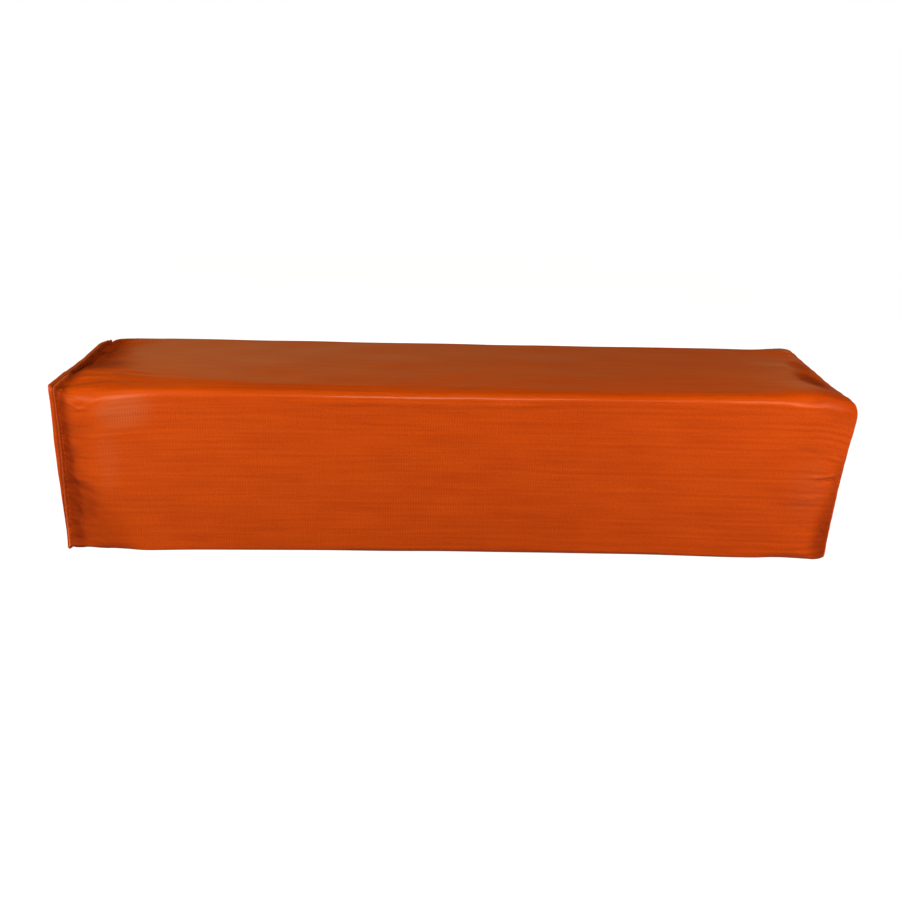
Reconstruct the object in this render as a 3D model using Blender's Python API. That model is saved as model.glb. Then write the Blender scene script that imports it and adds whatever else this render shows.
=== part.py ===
"""An end zone pylon: a foam block and a sand weight, sewn into a cover of vinyl-coated cloth.

The pylon lies on its side, as it does when it has been put down on a table. Its long axis is X.
The base end, whose seam stands out as a rim, is at -X, and the clean top end is at +X.
The front is at -Y, and the origin is the middle of the underside. Lengths are in metres.

"Along" is the distance from the rim's edge towards the top end. "Inset" is the distance
inwards from the outside of the cover, measured across the long axis.
"""

import math
from collections import namedtuple

import bmesh
import bpy
from mathutils import Vector

MM = 0.001
INCH = 0.0254

# The pylon as a whole
PYLON_LENGTH = 18 * INCH
PYLON_WIDTH = 4 * INCH
CORNER_RADIUS = 7.0 * MM
SIDE_CROWN = 1.2 * MM
SHEET = 0.6 * MM
GAP = 0.3 * MM
LEAST_RADIUS = 0.4 * MM

# Thread
THREAD_RADIUS = 0.25 * MM
STITCH_PITCH = 3.3 * MM
STITCH_RISE = 0.35 * MM
THREAD_SINK = 0.3 * MM

# The base end: a seam allowance that stands out past the stitches as a rim
SLEEVE_ALLOWANCE = 2.3 * MM
RIM_STEP = 2.3 * MM
RIM_CORNER_RADIUS = 2.2 * MM
RIM_CORNER_INSET = 0.2 * MM
RIM_SAG = 0.9 * MM
WAIST_CORNER_RADIUS = 4.0 * MM
WAIST_SAG = 0.3 * MM
SHOULDER_LENGTH = 2.6 * MM
SHOULDER_CORNER_INSET = 0.3 * MM
SHOULDER_CORNER_RADIUS = 5.5 * MM
BASE_SETTLE = 12.0 * MM
BASE_BEND_RADIUS = 0.6 * MM
BASE_CROWN = 0.5 * MM
BASE_CROWN_SLOPE = 6.0 * MM

# The top end: a seam whose allowances are turned inside
TOP_CROWN = 1.5 * MM
TOP_CORNER_RADIUS = 9.5 * MM
TOP_CORNER_INSET = 1.8 * MM
TOP_SAG = 0.4 * MM
TOP_NECK_LENGTH = 3.0 * MM
TOP_NECK_CORNER_INSET = 0.7 * MM
TOP_NECK_CORNER_RADIUS = 8.5 * MM
TOP_SETTLE = 8.0 * MM
TOP_BEND_RADIUS = 0.9 * MM
TOP_STITCH_SETBACK = 1.8 * MM
TOP_STITCH_TO_EDGE = 4.5 * MM

# How much further in from each end the sides have reached most of their crown
CROWN_RISE = 30.0 * MM

# The seam along the hidden back edge
SIDE_STITCH_DEPTH = 4.5 * MM
SIDE_STITCH_TO_EDGE = 3.5 * MM

# Foam core and the pocket for its weight
FOAM_END_ROUND = 2.0 * MM
POCKET_WALL = 12.0 * MM
POCKET_DEPTH = 60.0 * MM
POCKET_CORNER_RADIUS = 10.0 * MM

# Sand bag
BAG_SHEET = 0.5 * MM
BAG_MOUTH_RADIUS = 9.0 * MM
BAG_NECK_RADIUS = 5.0 * MM
BAG_MOUTH_LENGTH = 6.0 * MM
BAG_NECK_LENGTH = 4.0 * MM
BAG_SHOULDER_LENGTH = 12.0 * MM
BAG_ROUND = 4.0 * MM
TIE_WIDTH = 2.5 * MM
TIE_THICKNESS = 1.0 * MM
TIE_HEAD = 4.0 * MM

# How far a cutter runs past what it cuts
CUT_OVERRUN = 2.0 * MM

# Steps round the section, and shares of the sizes above
SIDE_STEPS = 6
CORNER_STEPS = 3
FOLD_STEPS = 4
BEND_STEPS = 2
BAG_NECK_RINGS = 3
SETTLED_CROWN_SHARE = 0.3
RISEN_CROWN_SHARE = 0.85
END_RING_SHARES = (0.8, 0.5, 0.2)
ROUND_SHARE = 0.85
BAG_SHOULDER_SHARE = 0.8

# Sizes that follow from those
HALF_WIDTH = PYLON_WIDTH / 2
BASE_X = -PYLON_LENGTH / 2
THREAD_SPACE = GAP + 2 * THREAD_RADIUS
CHORD_SAG = STITCH_PITCH * STITCH_PITCH / (32 * WAIST_CORNER_RADIUS)
RIM_DEPTH = SLEEVE_ALLOWANCE + RIM_STEP
WAIST_CORNER_INSET = THREAD_SINK + THREAD_SPACE + CHORD_SAG + STITCH_RISE
SHOULDER = RIM_DEPTH + SHOULDER_LENGTH
BASE_SETTLED = SHOULDER + BASE_SETTLE
BASE_BEND_OUTER = BASE_BEND_RADIUS + SHEET
RECESS_DEPTH = RIM_DEPTH + THREAD_RADIUS + BASE_BEND_OUTER
BASE_PANEL_BACK = RECESS_DEPTH + SHEET
BASE_WALL_INSET = SHEET + GAP
BASE_CROWN_FOOT = BASE_WALL_INSET + BASE_BEND_OUTER
BASE_CROWN_EDGE = BASE_CROWN_FOOT + BASE_CROWN_SLOPE
FOLD_THICKNESS = 2 * SHEET + GAP
TOP_BEND_OUTER = TOP_BEND_RADIUS + SHEET
TOP_EDGE = PYLON_LENGTH - TOP_CROWN
FOLD_START = TOP_EDGE - FOLD_THICKNESS / 2
TOP_STITCHES = TOP_EDGE - TOP_BEND_OUTER - TOP_STITCH_SETBACK
HEM_END = TOP_STITCHES - TOP_STITCH_TO_EDGE
TOP_SETTLED = HEM_END - TOP_SETTLE
TOP_WALL_INSET = FOLD_THICKNESS + GAP
FOAM_INSET = SHEET + GAP
FOAM_START = BASE_PANEL_BACK + GAP
FOAM_END = TOP_EDGE - SHEET - GAP
FOAM_END_INSET = TOP_WALL_INSET + SHEET + THREAD_SPACE + GAP
FOAM_STEP = min(HEM_END, FOAM_END - FOAM_END_ROUND) - GAP
POCKET_HALF = HALF_WIDTH - FOAM_INSET - POCKET_WALL
POCKET_FLOOR = FOAM_START + POCKET_DEPTH
CORNER_FACET_SHARE = math.cos(math.radians(90 / CORNER_STEPS / 2))
SIDE_SEAM_REACH = (CORNER_RADIUS - SHEET / 2) * CORNER_FACET_SHARE
SIDE_STITCH_REACH = SIDE_SEAM_REACH - SIDE_STITCH_DEPTH
SIDE_EDGE_REACH = SIDE_STITCH_REACH - SIDE_STITCH_TO_EDGE
SIDE_SEAM_SPAN = (BASE_SETTLED, TOP_SETTLED)
SETTLED_CROWN = SIDE_CROWN * SETTLED_CROWN_SHARE
RISEN_CROWN = SIDE_CROWN * RISEN_CROWN_SHARE

Section = namedtuple("Section", "along half radius sway floor_sway")


def plain_section(half, radius):
    """A square section with straight sides."""
    return Section(0, half, radius, 0, 0)


COVER_FORM = (
    Section(0, HALF_WIDTH - RIM_CORNER_INSET, RIM_CORNER_RADIUS, -RIM_SAG, -RIM_SAG),
    Section(RIM_DEPTH, HALF_WIDTH - WAIST_CORNER_INSET, WAIST_CORNER_RADIUS, -WAIST_SAG, -WAIST_SAG),
    Section(SHOULDER, HALF_WIDTH - SHOULDER_CORNER_INSET, SHOULDER_CORNER_RADIUS, 0, 0),
    Section(BASE_SETTLED, HALF_WIDTH, CORNER_RADIUS, SETTLED_CROWN, 0),
    Section(BASE_SETTLED + CROWN_RISE, HALF_WIDTH, CORNER_RADIUS, RISEN_CROWN, 0),
    Section(PYLON_LENGTH / 2, HALF_WIDTH, CORNER_RADIUS, SIDE_CROWN, 0),
    Section(TOP_SETTLED - CROWN_RISE, HALF_WIDTH, CORNER_RADIUS, RISEN_CROWN, 0),
    Section(TOP_SETTLED, HALF_WIDTH, CORNER_RADIUS, SETTLED_CROWN, 0),
    Section(
        FOLD_START - TOP_NECK_LENGTH,
        HALF_WIDTH - TOP_NECK_CORNER_INSET,
        TOP_NECK_CORNER_RADIUS,
        0,
        0,
    ),
    Section(FOLD_START, HALF_WIDTH - TOP_CORNER_INSET, TOP_CORNER_RADIUS, -TOP_SAG, -TOP_SAG),
)


def form_at(along):
    """The cover's outer section at this distance along, between the stations of its form."""
    if along <= COVER_FORM[0].along:
        return COVER_FORM[0]
    for low, high in zip(COVER_FORM, COVER_FORM[1:]):
        if along <= high.along:
            share = (along - low.along) / (high.along - low.along)
            return Section(*(a + (b - a) * share for a, b in zip(low, high)))
    return COVER_FORM[-1]


def section_points(section, inset=0):
    """Points (y, z) round a square section: each side bows by its sway, and each corner is an arc."""
    radius = max(section.radius - inset, LEAST_RADIUS)
    straight = section.half - inset - radius
    points = []
    for side in range(4):
        turn = math.radians(90 * side)
        sway = section.floor_sway if side == 3 else section.sway
        local = []
        for step in range(SIDE_STEPS + 1):
            share = 2 * step / SIDE_STEPS - 1
            local.append((straight + radius + sway * (1 - share * share), straight * share))
        for step in range(1, CORNER_STEPS):
            angle = math.radians(90 * step / CORNER_STEPS)
            local.append((straight + radius * math.cos(angle), straight + radius * math.sin(angle)))
        for out, across in local:
            y = out * math.cos(turn) - across * math.sin(turn)
            z = out * math.sin(turn) + across * math.cos(turn)
            points.append((y, HALF_WIDTH + z))
    return points


def ring_of(section, along, inset=0):
    """A ring of points round the section, across the long axis at this distance along."""
    return [Vector((BASE_X + along, y, z)) for y, z in section_points(section, inset)]


def cover_ring(along, inset):
    """A ring that follows the cover's form at a constant inset."""
    return ring_of(form_at(along), along, inset)


def shrunk_ring(section, along, inset, share):
    """A ring of an end face: the ring at this inset, drawn in towards the middle."""
    middle = Vector((BASE_X + along, 0, HALF_WIDTH))
    return [middle + (point - middle) * share for point in ring_of(section, along, inset)]


def stations(start, end):
    """The distances along from start to end, with every station of the cover's form between them."""
    between = [section.along for section in COVER_FORM if start < section.along < end]
    return [start, *between, end]


def make_material(name, colour, roughness):
    material = bpy.data.materials.new(name)
    material.use_nodes = True
    shader = material.node_tree.nodes["Principled BSDF"]
    shader.inputs["Base Color"].default_value = (*colour, 1)
    shader.inputs["Roughness"].default_value = roughness
    shader.inputs["Metallic"].default_value = 0
    material.diffuse_color = (*colour, 1)
    return material


def make_object(name, mesh_data, material):
    """A named object from a bmesh, with its faces turned outwards."""
    bmesh.ops.recalc_face_normals(mesh_data, faces=mesh_data.faces)
    mesh = bpy.data.meshes.new(name)
    mesh_data.to_mesh(mesh)
    mesh_data.free()
    mesh.shade_smooth()
    mesh.set_sharp_from_angle(angle=math.radians(40))
    mesh.materials.append(material)
    made = bpy.data.objects.new(name, mesh)
    bpy.context.scene.collection.objects.link(made)
    return made


def loft(name, rings, material, closed=False):
    """A body from rings of as many points each. An open chain of rings is capped at its two ends."""
    mesh_data = bmesh.new()
    loops = [[mesh_data.verts.new(point) for point in ring] for ring in rings]
    pairs = list(zip(loops, loops[1:]))
    if closed:
        pairs.append((loops[-1], loops[0]))
    for first, second in pairs:
        for i, corner in enumerate(first):
            after = (i + 1) % len(first)
            mesh_data.faces.new((corner, first[after], second[after], second[i]))
    if not closed:
        mesh_data.faces.new(loops[0])
        mesh_data.faces.new(loops[-1])
    return make_object(name, mesh_data, material)


def combine(body, other, operation):
    """Cuts the other solid from the body, or joins the two, and leaves the other out of the part."""
    modifier = body.modifiers.new(other.name, "BOOLEAN")
    modifier.operation = operation
    modifier.object = other
    modifier.solver = "EXACT"
    other.hide_render = True
    other.display_type = "WIRE"


def seam_bar(name, along, reach, side, material):
    """A straight bar along the back lower edge, placed by the diagonal of that corner.

    along, reach and side are (from, to): reach runs outwards from the middle of the corner's arc,
    and side runs across the diagonal.
    """
    middle = Vector((0, HALF_WIDTH - CORNER_RADIUS, CORNER_RADIUS))
    outwards = Vector((0, 1, -1)).normalized()
    across = Vector((0, 1, 1)).normalized()
    rings = []
    for distance in along:
        corners = ((0, 0), (1, 0), (1, 1), (0, 1))
        start = middle + Vector((BASE_X + distance, 0, 0))
        rings.append([start + outwards * reach[a] + across * side[b] for a, b in corners])
    return loft(name, rings, material)


def sleeve_rings():
    """The sleeve's wall from its cut edge to the top, round its fold, and back inside."""
    outside = stations(RIM_STEP, FOLD_START)
    hem = stations(HEM_END, FOLD_START)
    rings = [cover_ring(along, 0) for along in outside]
    for step in range(1, FOLD_STEPS):
        angle = math.pi * step / FOLD_STEPS
        rise = FOLD_THICKNESS / 2 * math.sin(angle)
        inset = FOLD_THICKNESS / 2 * (1 - math.cos(angle))
        rings.append(ring_of(form_at(FOLD_START), FOLD_START + rise, inset))
    rings += [cover_ring(along, FOLD_THICKNESS) for along in reversed(hem)]
    rings += [cover_ring(along, SHEET + GAP) for along in hem]
    rings.append(ring_of(form_at(FOLD_START), FOLD_START + GAP / 2, SHEET + GAP / 2))
    rings += [cover_ring(along, SHEET) for along in reversed(outside)]
    return rings


def make_sleeve(vinyl):
    """One sheet wrapped round the four long sides, its long edges sewn together inside."""
    sleeve = loft("cover_sleeve", sleeve_rings(), vinyl, closed=True)
    allowance = seam_bar(
        "side_allowance",
        SIDE_SEAM_SPAN,
        (SIDE_EDGE_REACH, SIDE_SEAM_REACH),
        (-SHEET, SHEET),
        vinyl,
    )
    combine(sleeve, allowance, "UNION")
    return sleeve


def bend(radius):
    """(along, across) from the middle of a quarter bend to its surface, after the bend's start."""
    angles = [math.pi / 2 * step / BEND_STEPS for step in range(1, BEND_STEPS + 1)]
    return [(radius * math.sin(angle), radius * math.cos(angle)) for angle in angles]


def make_top_panel(vinyl):
    """The square end, with its hem turned in against the sleeve's hem."""
    edge_inset = TOP_WALL_INSET + TOP_BEND_OUTER
    bend_start = TOP_EDGE - TOP_BEND_OUTER

    def skin(depth):
        rings = [cover_ring(along, TOP_WALL_INSET + depth) for along in stations(HEM_END, bend_start)]
        for out, turned in bend(TOP_BEND_OUTER - depth):
            rings.append(cover_ring(bend_start + out, edge_inset - turned))
        least = END_RING_SHARES[-1]
        for share in END_RING_SHARES:
            rise = TOP_CROWN * (1 - share * share) / (1 - least * least)
            rings.append(shrunk_ring(form_at(TOP_EDGE), TOP_EDGE - depth + rise, edge_inset, share))
        return rings

    return loft("cover_top_panel", list(reversed(skin(0))) + skin(SHEET), vinyl)


def make_base_panel(vinyl):
    """The square base, with its edges turned out to make the inner layer of the rim.

    The foam inside presses its flat middle out a little.
    """
    bend_start = BASE_PANEL_BACK - BASE_BEND_OUTER
    flat = form_at(BASE_PANEL_BACK)

    def skin(depth):
        rings = [cover_ring(along, BASE_WALL_INSET + depth) for along in stations(0, bend_start)]
        for out, turned in bend(BASE_BEND_OUTER - depth):
            rings.append(ring_of(flat, bend_start + out, BASE_CROWN_FOOT - turned))
        rings.append(ring_of(flat, BASE_PANEL_BACK - depth - BASE_CROWN, BASE_CROWN_EDGE))
        return rings

    return loft("cover_base_panel", list(reversed(skin(0))) + skin(SHEET), vinyl)


def point_on_loop(points, distance):
    """The point at this distance round a closed loop of (y, z), and the direction outwards there."""
    corners = [Vector(point) for point in points]
    for start, end in zip(corners, corners[1:] + corners[:1]):
        run = end - start
        if distance <= run.length:
            heading = run.normalized()
            return start + heading * distance, Vector((heading.y, -heading.x))
        distance -= run.length
    return corners[0], Vector((1, 0))


def stitched_ring(name, along, inset, direction, thread):
    """A seam's thread round the section: it rises from each stitch hole and drops to the next.

    direction is 1 for a thread that stands out from the section, and -1 for one inside it.
    """
    points = section_points(form_at(along), inset)
    corners = [Vector(point) for point in points]
    around = sum((b - a).length for a, b in zip(corners, corners[1:] + corners[:1]))
    count = 2 * max(round(around / STITCH_PITCH), 4)
    rings = []
    for step in range(count):
        place, out = point_on_loop(points, around * step / count)
        place = place + out * (direction * STITCH_RISE * (step % 2))
        centre = Vector((BASE_X + along, *place))
        lift = Vector((0, *out)) * THREAD_RADIUS
        sideways = Vector((THREAD_RADIUS, 0, 0))
        rings.append([centre + lift, centre + sideways, centre - lift, centre - sideways])
    return loft(name, rings, thread, closed=True)


def make_base_threads(thread):
    """The two threads of the base seam: one outside the rim, one inside the recess."""
    outside = -(GAP + THREAD_RADIUS + CHORD_SAG)
    stitched_ring("base_seam_needle_thread", RIM_DEPTH, outside, 1, thread)
    inside = BASE_WALL_INSET + SHEET + GAP + THREAD_RADIUS
    stitched_ring("base_seam_bobbin_thread", RIM_DEPTH, inside, -1, thread)


def make_top_thread(thread):
    """The thread of the turned-in top seam, on the inside of the top panel's hem."""
    middle = TOP_WALL_INSET + SHEET + GAP + THREAD_RADIUS
    offsets = ((0, -THREAD_RADIUS), (THREAD_RADIUS, 0), (0, THREAD_RADIUS), (-THREAD_RADIUS, 0))
    section = form_at(TOP_STITCHES)
    rings = [ring_of(section, TOP_STITCHES + shift, middle + rise) for shift, rise in offsets]
    loft("top_seam_thread", rings, thread, closed=True)


def make_side_thread(thread):
    """The thread of the long seam, beside the sleeve's allowance."""
    reach = (SIDE_STITCH_REACH - 2 * THREAD_RADIUS, SIDE_STITCH_REACH)
    side = (SHEET + GAP, SHEET + THREAD_SPACE)
    seam_bar("side_seam_thread", SIDE_SEAM_SPAN, reach, side, thread)


def make_foam(foam_material):
    """The foam block, with a square pocket in its base end and a groove for the side seam."""
    pocket = plain_section(POCKET_HALF, POCKET_CORNER_RADIUS)
    flat = form_at(BASE_PANEL_BACK)
    rings = [
        ring_of(pocket, POCKET_FLOOR),
        ring_of(pocket, FOAM_START - BASE_CROWN),
        ring_of(flat, FOAM_START - BASE_CROWN, BASE_CROWN_EDGE),
        ring_of(flat, FOAM_START, BASE_CROWN_FOOT),
    ]
    rings += [cover_ring(along, FOAM_INSET) for along in stations(FOAM_START, FOAM_STEP)]
    round_start = FOAM_END - FOAM_END_ROUND
    rings += [cover_ring(along, FOAM_END_INSET) for along in stations(FOAM_STEP, round_start)]
    top = form_at(FOAM_END)
    round_inset = FOAM_END_INSET + FOAM_END_ROUND
    for out, turned in bend(FOAM_END_ROUND):
        rings.append(cover_ring(round_start + out, round_inset - turned))
    least = END_RING_SHARES[-1]
    for share in END_RING_SHARES:
        rise = TOP_CROWN * (1 - share * share) / (1 - least * least)
        rings.append(shrunk_ring(top, FOAM_END + rise, round_inset, share))
    foam = loft("foam_core", rings, foam_material)
    half_groove = SHEET + THREAD_SPACE + GAP
    groove = seam_bar(
        "side_seam_groove",
        (FOAM_START - CUT_OVERRUN, PYLON_LENGTH + CUT_OVERRUN),
        (SIDE_EDGE_REACH - GAP, CORNER_RADIUS + CUT_OVERRUN),
        (-half_groove, half_groove),
        foam_material,
    )
    combine(foam, groove, "DIFFERENCE")


def bag_rings(inset):
    """Rings down the sand bag from its mouth to its floor, at this inset from its outside."""
    full = POCKET_HALF - GAP
    corner = POCKET_CORNER_RADIUS - GAP
    neck = FOAM_START + BAG_MOUTH_LENGTH
    neck_end = neck + BAG_NECK_LENGTH
    body = neck_end + BAG_SHOULDER_LENGTH
    floor = POCKET_FLOOR - GAP - inset
    profile = (
        (FOAM_START, BAG_MOUTH_RADIUS, BAG_MOUTH_RADIUS * ROUND_SHARE),
        (neck, BAG_NECK_RADIUS, BAG_NECK_RADIUS * ROUND_SHARE),
        (neck_end, BAG_NECK_RADIUS, BAG_NECK_RADIUS * ROUND_SHARE),
        ((neck_end + body) / 2, full * BAG_SHOULDER_SHARE, corner),
        (body, full, corner),
        (floor - BAG_ROUND, full, corner),
        (floor, full - BAG_ROUND, corner),
    )
    return [ring_of(plain_section(half, radius), along, inset) for along, half, radius in profile]


def make_sand_bag(bag_material):
    """The bag that holds the sand: square like its pocket, and gathered to a neck."""
    loft("sand_bag", list(reversed(bag_rings(0))) + bag_rings(BAG_SHEET), bag_material)


def make_sand(sand_material):
    """The sand, which fills the bag from its floor up into its shoulder."""
    loft("ballast_sand", bag_rings(BAG_SHEET + GAP)[BAG_NECK_RINGS:], sand_material)


def make_bag_tie(tie_material):
    """The tie that closes the bag's neck: a flat band with a square head."""
    neck_middle = FOAM_START + BAG_MOUTH_LENGTH + BAG_NECK_LENGTH / 2
    inner = BAG_NECK_RADIUS + GAP
    outer = inner + TIE_THICKNESS
    half_band = TIE_WIDTH / 2
    rings = []
    for shift, radius in ((-half_band, inner), (-half_band, outer), (half_band, outer), (half_band, inner)):
        rings.append(ring_of(plain_section(radius, radius * ROUND_SHARE), neck_middle + shift))
    band = loft("sand_bag_tie", rings, tie_material, closed=True)
    low = inner + TIE_THICKNESS / 2
    head_rings = []
    for shift in (-TIE_HEAD / 2, TIE_HEAD / 2):
        x = BASE_X + neck_middle + shift
        head_rings.append(
            [
                Vector((x, -TIE_HEAD / 2, HALF_WIDTH + low)),
                Vector((x, TIE_HEAD / 2, HALF_WIDTH + low)),
                Vector((x, TIE_HEAD / 2, HALF_WIDTH + low + TIE_HEAD)),
                Vector((x, -TIE_HEAD / 2, HALF_WIDTH + low + TIE_HEAD)),
            ]
        )
    combine(band, loft("tie_head", head_rings, tie_material), "UNION")


def main():
    for old in list(bpy.data.objects):
        bpy.data.objects.remove(old)
    vinyl = make_material("orange_vinyl", (0.62, 0.075, 0.008), 0.42)
    thread = make_material("orange_thread", (0.42, 0.05, 0.008), 0.7)
    foam = make_material("grey_foam", (0.30, 0.31, 0.33), 0.95)
    bag = make_material("canvas_bag", (0.55, 0.50, 0.40), 0.9)
    sand = make_material("dry_sand", (0.52, 0.40, 0.26), 0.95)
    tie = make_material("black_tie", (0.02, 0.02, 0.02), 0.4)
    make_sleeve(vinyl)
    make_top_panel(vinyl)
    make_base_panel(vinyl)
    make_base_threads(thread)
    make_top_thread(thread)
    make_side_thread(thread)
    make_foam(foam)
    make_sand_bag(bag)
    make_sand(sand)
    make_bag_tie(tie)


main()
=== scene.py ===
# %% [markdown]
# A football end zone pylon: the looks around its solids
#
# The object is a foam block with a sand weight in it, sewn into a cover of orange vinyl-coated
# cloth. It lies on its side, with the rim of its base seam at -X and its clean top end at +X.
# The solids are loaded first. They are the fixed frame, and every piece below stands where
# they stand, in metres, so nothing has to be fitted by eye.

# %% Load the solids
import math

import bpy
import numpy as np
from mathutils import Matrix, Vector


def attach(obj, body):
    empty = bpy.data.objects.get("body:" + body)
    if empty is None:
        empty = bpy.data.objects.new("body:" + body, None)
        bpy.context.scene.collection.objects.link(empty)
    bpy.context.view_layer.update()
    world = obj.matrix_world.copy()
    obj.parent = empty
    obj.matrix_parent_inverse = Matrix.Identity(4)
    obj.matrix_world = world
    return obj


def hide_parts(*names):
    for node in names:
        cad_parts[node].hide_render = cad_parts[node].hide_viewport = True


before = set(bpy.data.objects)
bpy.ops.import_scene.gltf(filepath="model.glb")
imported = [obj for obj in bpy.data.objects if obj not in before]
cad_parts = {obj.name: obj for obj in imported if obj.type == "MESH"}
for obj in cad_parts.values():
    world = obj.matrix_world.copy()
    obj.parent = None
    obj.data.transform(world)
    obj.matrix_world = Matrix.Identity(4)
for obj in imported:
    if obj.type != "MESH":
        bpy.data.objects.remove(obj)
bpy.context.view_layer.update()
SCENE = bpy.context.scene
print("solids:", ", ".join(sorted(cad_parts)))

# %% [markdown]
# Sizes
#
# Cloth is thin and threads are thinner, so the sizes here are in millimetres, and turn into
# metres only when a mesh is made. "Along" is the distance from the rim's edge towards the top
# end. "Around" is the distance round the cover: 0 is the middle of the front upper edge, it
# grows down the front, and it is negative back over the top.

# %% Sizes in millimetres
MM = 0.001
LENGTH = 457.2
HALF = 50.8
SHEET = 0.6
GAP = 0.3
CUT_EDGE = 3.0
STITCH_LINE = 4.6
RECESS = 6.05
BASE_BEND = 0.6
BASE_CROWN = 0.5
BASE_CROWN_SLOPE = 6.0
TOP_CROWN = 0.7
TOP_EDGE = LENGTH - TOP_CROWN
TOP_BEND = 0.9
FOLD_RADIUS = 0.75
FOLD_START = TOP_EDGE - FOLD_RADIUS
TOP_STITCHES = TOP_EDGE - TOP_BEND - SHEET - 1.8
HEM_END = TOP_STITCHES - 4.5
THREAD = 0.25
EDGE_RADIUS = 7.0
STRAIGHT = 2 * (HALF - EDGE_RADIUS)
ARC = EDGE_RADIUS * math.pi / 2
AROUND = 4 * (STRAIGHT + ARC)
STITCHES = 120
STITCH_PITCH = AROUND / STITCHES
print(f"the cloth is {AROUND:.1f} mm round, with {STITCHES} stitches of {STITCH_PITCH:.2f} mm")

# %% [markdown]
# The form of the cover
#
# A stuffed square tube isn't a box. Its sides swell between the seams, each seam draws it in,
# and its edges aren't plain arcs: the top rolls gently into the front upper edge, which then
# turns down sharply. So the form is a table of sections, and a smooth curve runs through each
# column. A Bezier cage could do it too, but a table can be checked against the solids and
# against the outline in the photograph, number by number.
#
# Each row gives along, half the width, the radius of the four edges (back upper, front upper,
# front lower, back lower), how far behind the front the top's crest lies, the swell of the four
# sides (back, top, front, underside), the rise of the crest, and its dip down to the front edge.

# %% The table of sections
SECTIONS = np.array([
    (0.0, 50.7, 2.2, 2.6, 1.6, 2.2, 8.0, 0.1, 0.2, 0.1, -0.2, 1.9, 0.3),
    (3.0, 50.1, 2.4, 2.8, 1.8, 2.4, 9.0, 0.0, 0.0, 0.0, -0.2, 1.8, 0.3),
    (4.6, 48.5, 2.8, 3.2, 2.6, 3.0, 14.0, -0.2, -0.2, -0.2, -0.2, 1.9, 0.8),
    (6.0, 48.9, 3.2, 4.6, 3.0, 3.2, 21.0, -0.1, -0.1, -0.1, -0.1, 2.4, 1.6),
    (9.0, 49.9, 3.2, 6.0, 3.0, 3.4, 30.0, 0.1, 0.1, 0.2, 0.0, 3.3, 2.7),
    (13.0, 50.5, 3.2, 7.0, 2.8, 3.6, 33.0, 0.3, 0.2, 0.3, 0.0, 4.0, 3.5),
    (20.0, 50.8, 3.2, 7.0, 2.4, 3.8, 31.0, 0.5, 0.3, 0.4, 0.0, 4.4, 3.7),
    (35.0, 50.8, 3.2, 5.8, 2.2, 4.1, 24.0, 0.8, 0.3, 0.6, 0.0, 4.3, 3.0),
    (60.0, 50.8, 3.0, 4.4, 2.4, 4.5, 16.5, 1.0, 0.4, 0.8, 0.0, 3.8, 1.9),
    (120.0, 50.8, 3.0, 3.6, 3.4, 5.0, 11.0, 1.2, 0.5, 1.0, 0.0, 3.3, 1.1),
    (228.6, 50.8, 3.4, 3.5, 5.4, 5.4, 10.0, 1.2, 0.5, 1.0, 0.0, 3.1, 1.0),
    (340.0, 50.8, 2.8, 3.4, 4.6, 5.0, 8.0, 1.2, 0.5, 1.0, 0.0, 3.2, 0.7),
    (405.0, 50.8, 2.6, 4.6, 2.8, 4.4, 10.0, 1.0, 0.4, 0.8, 0.0, 4.4, 0.9),
    (436.0, 50.8, 2.6, 5.4, 2.4, 4.4, 12.0, 0.6, 0.2, 0.4, 0.0, 4.8, 1.0),
    (449.0, 50.7, 3.0, 5.6, 2.8, 4.6, 12.0, 0.2, 0.1, 0.2, 0.0, 2.4, 0.9),
    (453.5, 50.4, 3.4, 5.8, 3.2, 5.0, 10.0, 0.0, 0.0, 0.0, 0.0, 0.9, 0.7),
    (FOLD_START, 50.0, 3.7, 6.0, 3.6, 5.4, 10.0, -0.2, -0.2, -0.2, -0.2, 0.2, 0.5),
])


def smooth_through(places, values, wanted):
    """A curve through the values that never overshoots them (monotone cubic)."""
    steps = np.diff(places)
    slopes = np.diff(values) / steps
    turns = np.zeros_like(values)
    same = slopes[1:] * slopes[:-1] > 0
    before, after = slopes[:-1][same], slopes[1:][same]
    turns[1:-1][same] = 2 * before * after / (before + after)
    turns[0], turns[-1] = slopes[0], slopes[-1]
    index = np.clip(np.searchsorted(places, wanted) - 1, 0, len(steps) - 1)
    step = steps[index]
    t = np.clip((wanted - places[index]) / step, 0, 1)
    low, high = values[index], values[index + 1]
    pull = turns[index] * (t - 2 * t**2 + t**3) + turns[index + 1] * (t**3 - t**2)
    return low + (high - low) * (3 * t**2 - 2 * t**3) + pull * step


def form_at(along):
    """The table's columns at these distances along, one row for each."""
    columns = [smooth_through(SECTIONS[:, 0], column, along) for column in SECTIONS[:, 1:].T]
    return np.stack(columns, axis=1)


print(f"the cover's form has {len(SECTIONS)} sections")

# %% [markdown]
# Points round the section
#
# Every ring has the same layout: each quarter is a straight side and then an arc. So the same
# point of two rings lies on the same thread of the cloth, and a ring with every second point
# left out still fits its neighbour. That is how the mesh is fine at the seams and coarser
# between them, which no uniform grid could be within a piece's share of triangles.

# %% The layout of a ring
# points in a ring: at the seams, beside them, between them, and in the middle of a panel
FINE, MEDIUM, COARSE, COARSEST = 720, 360, 180, 90
SETTLING = 240
ARC_SHARE = 24 / 180
CREASE_ROUNDING = 0.03
TOP_CURVE = 1.3
SWELL_CURVE = 1.4


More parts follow.
